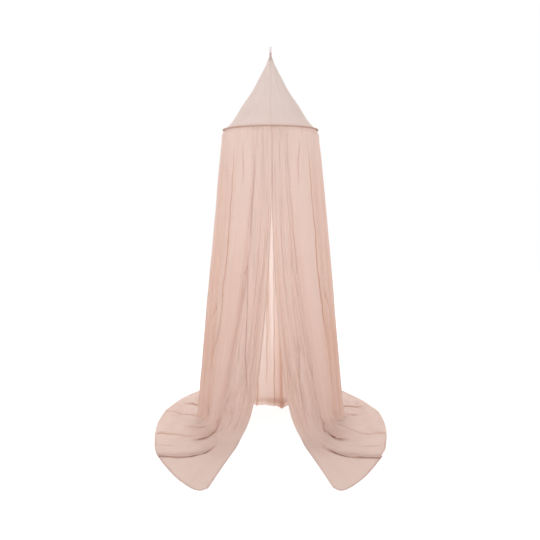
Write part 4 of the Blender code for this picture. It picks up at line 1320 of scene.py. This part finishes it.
def loop_grid():
    legs = [(LEG_HALF_GAP, height) for height in np.linspace(LOOP_LOW, EYE_LOW, LEG_POINTS)]
    top = -TAPE_THICKNESS / 2.0 - TOP_CLEARANCE
    for t in np.linspace(0.0, 1.0, EYE_POINTS)[1:]:
        side = LEG_HALF_GAP * (1.0 - t) + EYE_HALF_WIDTH * math.sin(math.pi * t**EYE_FULLNESS)
        legs.append((side, EYE_LOW + (top - EYE_LOW) * math.sin(math.pi * t / 2.0)))
    path = np.array(legs + [(-side, height) for side, height in legs[-2::-1]])
    x = np.linspace(-TAPE_WIDTH / 2.0, TAPE_WIDTH / 2.0, TAPE_COLUMNS)[:, None]
    grid = np.stack(np.broadcast_arrays(x, path[:, 0], path[:, 1]), axis=-1)
    return grid, x, lengths_along(path)[None, :]


loop = cloth_object("loop_tape", [loop_grid()])
mark(loop, pleat=rise(-point_places(loop)[:, 2], *LOOP_SHADE))
thick = loop.modifiers.new("thickness", "SOLIDIFY")
thick.thickness = TAPE_THICKNESS
thick.offset = 0.0
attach(loop, "root")
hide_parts("hanging_loop")

# %% [markdown]
# ## Woven finish
# All four cloths share one plain weave, so it is a node group with named inputs. It puts out a tint
# that varies thread by thread and a height for the bump. Slubs, the thicker stretches of cotton yarn,
# come from noise that is stretched along each thread.

# %% The weave as a node group
THREAD_SPACING = 0.0006
SLUB_STRETCHES = ((260.0, 9.0, 1.0), (9.0, 260.0, 1.0))  # of the noise, along the warp and the weft
THREAD_HEIGHT = 0.3  # beside the slubs' own


def cloth_group(name, numbers, outputs):
    """A node group that reads the cloth's metres and some numbers: (group, what comes in, what goes out)."""
    group = bpy.data.node_groups.new(name, "ShaderNodeTree")
    group.interface.new_socket("Cloth Metres", in_out="INPUT", socket_type="NodeSocketVector")
    for label, value in numbers.items():
        socket = group.interface.new_socket(label, in_out="INPUT", socket_type="NodeSocketFloat")
        socket.default_value = value
    for label in outputs:
        group.interface.new_socket(label, in_out="OUTPUT", socket_type="NodeSocketFloat")
    return group, node(group, "NodeGroupInput").outputs, node(group, "NodeGroupOutput").inputs


def stretched_noise(tree, metres, stretch, **inputs):
    """Noise in the cloth's own metres that is stretched along it."""
    longer = node(tree, "ShaderNodeVectorMath", {0: metres, 1: stretch}, operation="MULTIPLY")
    return node(tree, "ShaderNodeTexNoise", {"Vector": longer.outputs[0], **inputs}).outputs["Fac"]


weave, given, wanted = cloth_group(
    "plain_weave", {"Thread Spacing": THREAD_SPACING, "Slub": 0.5}, ("Tint", "Height")
)
split = node(weave, "ShaderNodeSeparateXYZ", {0: given["Cloth Metres"]})
turns = maths(weave, "DIVIDE", 2.0 * math.pi, given["Thread Spacing"])
warp, weft = (maths(weave, "SINE", maths(weave, "MULTIPLY", split.outputs[axis], turns)) for axis in "XY")
threads = maths(weave, "MULTIPLY", maths(weave, "MULTIPLY", warp, weft), THREAD_HEIGHT)
slubs = (
    stretched_noise(weave, given["Cloth Metres"], stretch, Scale=1.0, Detail=2.0)
    for stretch in SLUB_STRETCHES
)
both_ways = maths(weave, "ADD", *(maths(weave, "SUBTRACT", noise, 0.5) for noise in slubs))
slubs = maths(weave, "MULTIPLY", both_ways, given["Slub"])
feed(weave, slubs, wanted["Tint"])
feed(weave, maths(weave, "ADD", threads, slubs), wanted["Height"])
print("weave nodes:", len(weave.nodes))

# %% [markdown]
# ## Washed crinkle and cloudy dye
# Washed muslin is never flat: it keeps small crinkles that run mostly down the cloth. A second group
# makes them, and with them the slightly cloudy dye, from noise in the cloth's own metres.

# %% The washed look as a node group
CRINKLE_STRETCH = (1.0, 0.35, 1.0)
CLOUD_STRETCH = (1.0, 0.5, 1.0)
CLOUDS_PER_METRE = 14.0

washed, given, wanted = cloth_group(
    "washed_cloth", {"Crinkles Per Metre": 150.0, "Cloud Amount": 0.06}, ("Cloud", "Crinkle")
)
crinkle = stretched_noise(
    washed, given["Cloth Metres"], CRINKLE_STRETCH,
    Scale=given["Crinkles Per Metre"], Detail=3.0, Roughness=0.6, Distortion=0.8,
)
cloud = stretched_noise(
    washed, given["Cloth Metres"], CLOUD_STRETCH,
    Scale=CLOUDS_PER_METRE, Detail=3.0, Roughness=0.55, Distortion=0.0,
)
centred = maths(washed, "SUBTRACT", cloud, 0.5)
feed(washed, maths(washed, "MULTIPLY", centred, given["Cloud Amount"]), wanted["Cloud"])
feed(washed, crinkle, wanted["Crinkle"])
print("washed nodes:", len(washed.nodes))

# %% [markdown]
# ## Fine pressed lines
# Muslin that was folded and washed keeps thin wandering lines that run down it. The places where a
# stretched noise crosses its middle value make just such lines, which thin out and meet.

# %% The fine lines as a node group
LINE_STRETCH = (1.0, 0.06, 1.0)
PATCH_STRETCH = (1.0, 0.4, 1.0)
PATCHES_PER_METRE = 9.0
PATCH_ENDS = (0.40, 0.62)  # of the noise: lines show below, none above

pressed, given, wanted = cloth_group(
    "fine_pressed_lines", {"Lines Per Metre": 26.0, "Width": 0.035}, ("Line",)
)


def fading(tree, value, start, end):
    """1 below start, 0 above end, smooth between."""
    inputs = {"Value": value, "From Min": start, "From Max": end, "To Min": 1.0, "To Max": 0.0}
    return node(tree, "ShaderNodeMapRange", inputs, interpolation_type="SMOOTHSTEP").outputs["Result"]


wandering, patchy = (
    stretched_noise(pressed, given["Cloth Metres"], stretch, Scale=scale, Detail=1.0, Distortion=0.4)
    for stretch, scale in ((LINE_STRETCH, given["Lines Per Metre"]), (PATCH_STRETCH, PATCHES_PER_METRE))
)
crossing = maths(pressed, "ABSOLUTE", maths(pressed, "SUBTRACT", wandering, 0.5))
lines = fading(pressed, crossing, 0.0, given["Width"])
feed(pressed, maths(pressed, "MULTIPLY", lines, fading(pressed, patchy, *PATCH_ENDS)), wanted["Line"])
print("fine line nodes:", len(pressed.nodes))

# %% [markdown]
# ## Muslin
# Muslin scatters light forwards as much as backwards, so each cloth mixes a Principled surface with a
# Translucent one. The light that comes through is warmer than the light that bounces off, which is why the
# folds glow. Three colours make up each cloth: one layer; several layers, which also stands for painted
# shade; and a dark line colour, which is a real seam on the cone and painted shade along a crease on the
# drape.

# %% Muslin materials
CLOTH_ROUGHNESS = 0.92
CLOTH_SPECULAR = 0.15
CLOTH_SHEEN = 0.05
CRINKLE_STRENGTH = 0.45
CRINKLE_DEPTH = 0.0022
LINE_DEPTH = 0.0016
FINE_LINE_SHADE = 0.16
FINE_LINE_DEPTH = 0.0008
THREAD_STRENGTH = 0.25
THREAD_DEPTH = 0.0004
MUSLINS = (
    (
        "name", "colour", "pleated", "pinched", "through",
        "share", "tint", "slub", "spacing", "crinkles", "cloudy",
    ),
    (
        "drape_muslin", (0.784, 0.664, 0.617), (0.71, 0.47, 0.37), (0.36, 0.115, 0.065), (0.91, 0.793, 0.745),
        0.62, 0.16, 0.6, THREAD_SPACING, 150.0, 0.16,
    ),
    (
        "cone_muslin", (0.70, 0.62, 0.585), (0.60, 0.45, 0.40), (0.42, 0.27, 0.24), (0.78, 0.71, 0.68),
        0.50, 0.12, 0.5, THREAD_SPACING, 190.0, 0.10,
    ),
    # the casing lies three layers deep, and its colour is also darkened as painted shade for its shadowed
    # underside
    (
        "casing_muslin", (0.55, 0.37, 0.31), (0.50, 0.30, 0.25), (0.40, 0.22, 0.18), (0.62, 0.39, 0.31),
        0.15, 0.14, 0.8, THREAD_SPACING, 320.0, 0.14,
    ),
    (
        "cotton_tape", (0.80, 0.72, 0.74), (0.55, 0.38, 0.37), (0.40, 0.25, 0.24), (0.84, 0.74, 0.74),
        0.12, 0.14, 0.8, 0.0008, 400.0, 0.06,
    ),
)


def bumped(tree, height, strength, distance, under=None):
    inputs = {"Height": height, "Strength": strength, "Distance": distance}
    if under is not None:
        inputs["Normal"] = under
    return node(tree, "ShaderNodeBump", inputs).outputs[0]


def mixed(tree, share, first, second):
    """Two colours mixed; each is a triple or another node's output."""
    inputs = {"Factor": share}
    for name, colour in (("A", first), ("B", second)):
        inputs[name] = (*colour, 1.0) if isinstance(colour, tuple) else colour
    return node(tree, "ShaderNodeMix", inputs, data_type="RGBA").outputs["Result"]


def shaded(tree, colour, amount):
    return node(tree, "ShaderNodeVectorMath", {0: colour, "Scale": amount}, operation="SCALE").outputs[0]


def muslin(finish):
    made = plain_material(finish["name"], finish["colour"], CLOTH_ROUGHNESS, CLOTH_SPECULAR)
    tree = made.node_tree
    surface = tree.nodes["Principled BSDF"].inputs
    surface["Sheen Weight"].default_value = CLOTH_SHEEN
    metres = node(tree, "ShaderNodeUVMap", uv_map="cloth_metres").outputs[0]
    effects = {}
    for group, numbers in (
        (weave, {"Thread Spacing": finish["spacing"], "Slub": finish["slub"]}),
        (washed, {"Crinkles Per Metre": finish["crinkles"], "Cloud Amount": finish["cloudy"]}),
        (pressed, {}),
    ):
        placed = node(tree, "ShaderNodeGroup", {"Cloth Metres": metres, **numbers}, node_tree=group)
        effects.update(placed.outputs.items())
    marks = {
        name: node(tree, "ShaderNodeAttribute", attribute_name=name).outputs["Fac"]
        for name in ("pleat", "away", "line", "crinkled")
    }
    # painted shade: a crease's line is drawn dark near it; on the cone the same line is the real seam
    nearness = fading(tree, maths(tree, "ABSOLUTE", marks["away"]), 0.0, 1.0)
    line_and_crease_shade = maths(tree, "MULTIPLY", nearness, marks["line"])
    fine = maths(tree, "MULTIPLY", effects["Line"], marks["crinkled"])
    normal = bumped(tree, effects["Crinkle"], CRINKLE_STRENGTH, CRINKLE_DEPTH)
    for sunk, depth in ((line_and_crease_shade, LINE_DEPTH), (fine, FINE_LINE_DEPTH)):
        normal = bumped(tree, maths(tree, "MULTIPLY", sunk, -1.0), 1.0, depth, normal)
    feed(tree, bumped(tree, effects["Height"], THREAD_STRENGTH, THREAD_DEPTH, normal), surface["Normal"])
    # the colour for several layers is laid on by the density attribute, which also carries painted shade
    seen, through = (
        mixed(tree, line_and_crease_shade, mixed(tree, marks["pleat"], finish[single], finish["pleated"]), finish["pinched"])
        for single in ("colour", "through")
    )
    yarn = maths(tree, "ADD", maths(tree, "MULTIPLY", effects["Tint"], finish["tint"]), 1.0)
    # painted shade along the fine pressed lines, darkening their small creases
    yarn = maths(tree, "SUBTRACT", yarn, maths(tree, "MULTIPLY", fine, FINE_LINE_SHADE))
    feed(tree, shaded(tree, seen, maths(tree, "ADD", yarn, effects["Cloud"])), surface["Base Color"])
    glow = node(tree, "ShaderNodeBsdfTranslucent", {"Color": through})
    mix_with_surface(tree, finish["share"], glow.outputs[0])
    return made


muslins = {finish["name"]: muslin(finish) for finish in rows_of(MUSLINS)}
for finish, pieces in (
    ("drape_muslin", (drape, *hems)),
    ("cone_muslin", (cone,)),
    ("casing_muslin", (casing,)),
    ("cotton_tape", (loop,)),
):
    for piece in pieces:
        piece.data.materials.append(muslins[finish])
print("muslins:", sorted(muslins))

# %% [markdown]
# ## Sewing thread
# The thread is dyed like the cloth and a little shinier, because it is spun tighter. Its cloudy colour
# comes from the same group as the cloth's, read in the object's own metres.

# %% Thread finish
THREAD_COLOUR = (0.78, 0.60, 0.53)
THREAD_ROUGHNESS = 0.7
SPUN = {"Crinkles Per Metre": 900.0, "Cloud Amount": 0.25}
SPUN_STRENGTH = 0.5
SPUN_DEPTH = 0.0003

thread = plain_material("sewing_thread", THREAD_COLOUR, THREAD_ROUGHNESS)
tree = thread.node_tree
surface = tree.nodes["Principled BSDF"].inputs
metres = node(tree, "ShaderNodeTexCoord").outputs["Object"]
spun = node(tree, "ShaderNodeGroup", {"Cloth Metres": metres, **SPUN}, node_tree=washed).outputs
feed(tree, shaded(tree, THREAD_COLOUR, maths(tree, "ADD", spun["Cloud"], 1.0)), surface["Base Color"])
feed(tree, bumped(tree, spun["Crinkle"], SPUN_STRENGTH, SPUN_DEPTH), surface["Normal"])
threaded = (hem_stitches, cone_stitches, loop_stitches)
for piece in threaded:
    piece.data.materials.append(thread)
print("threaded pieces:", len(threaded))

# %% [markdown]
# ## Hoop
# The wire is inside its casing and can't be seen, so its solid stays and only gets its plastic finish.

# %% Hoop finish
RING_COLOUR = (0.86, 0.84, 0.80)
RING_ROUGHNESS = 0.45

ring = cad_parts["hoop"]
ring.data.materials.clear()
ring.data.materials.append(plain_material("ring_plastic", RING_COLOUR, RING_ROUGHNESS))
print("ring finish:", ring.data.materials[0].name)
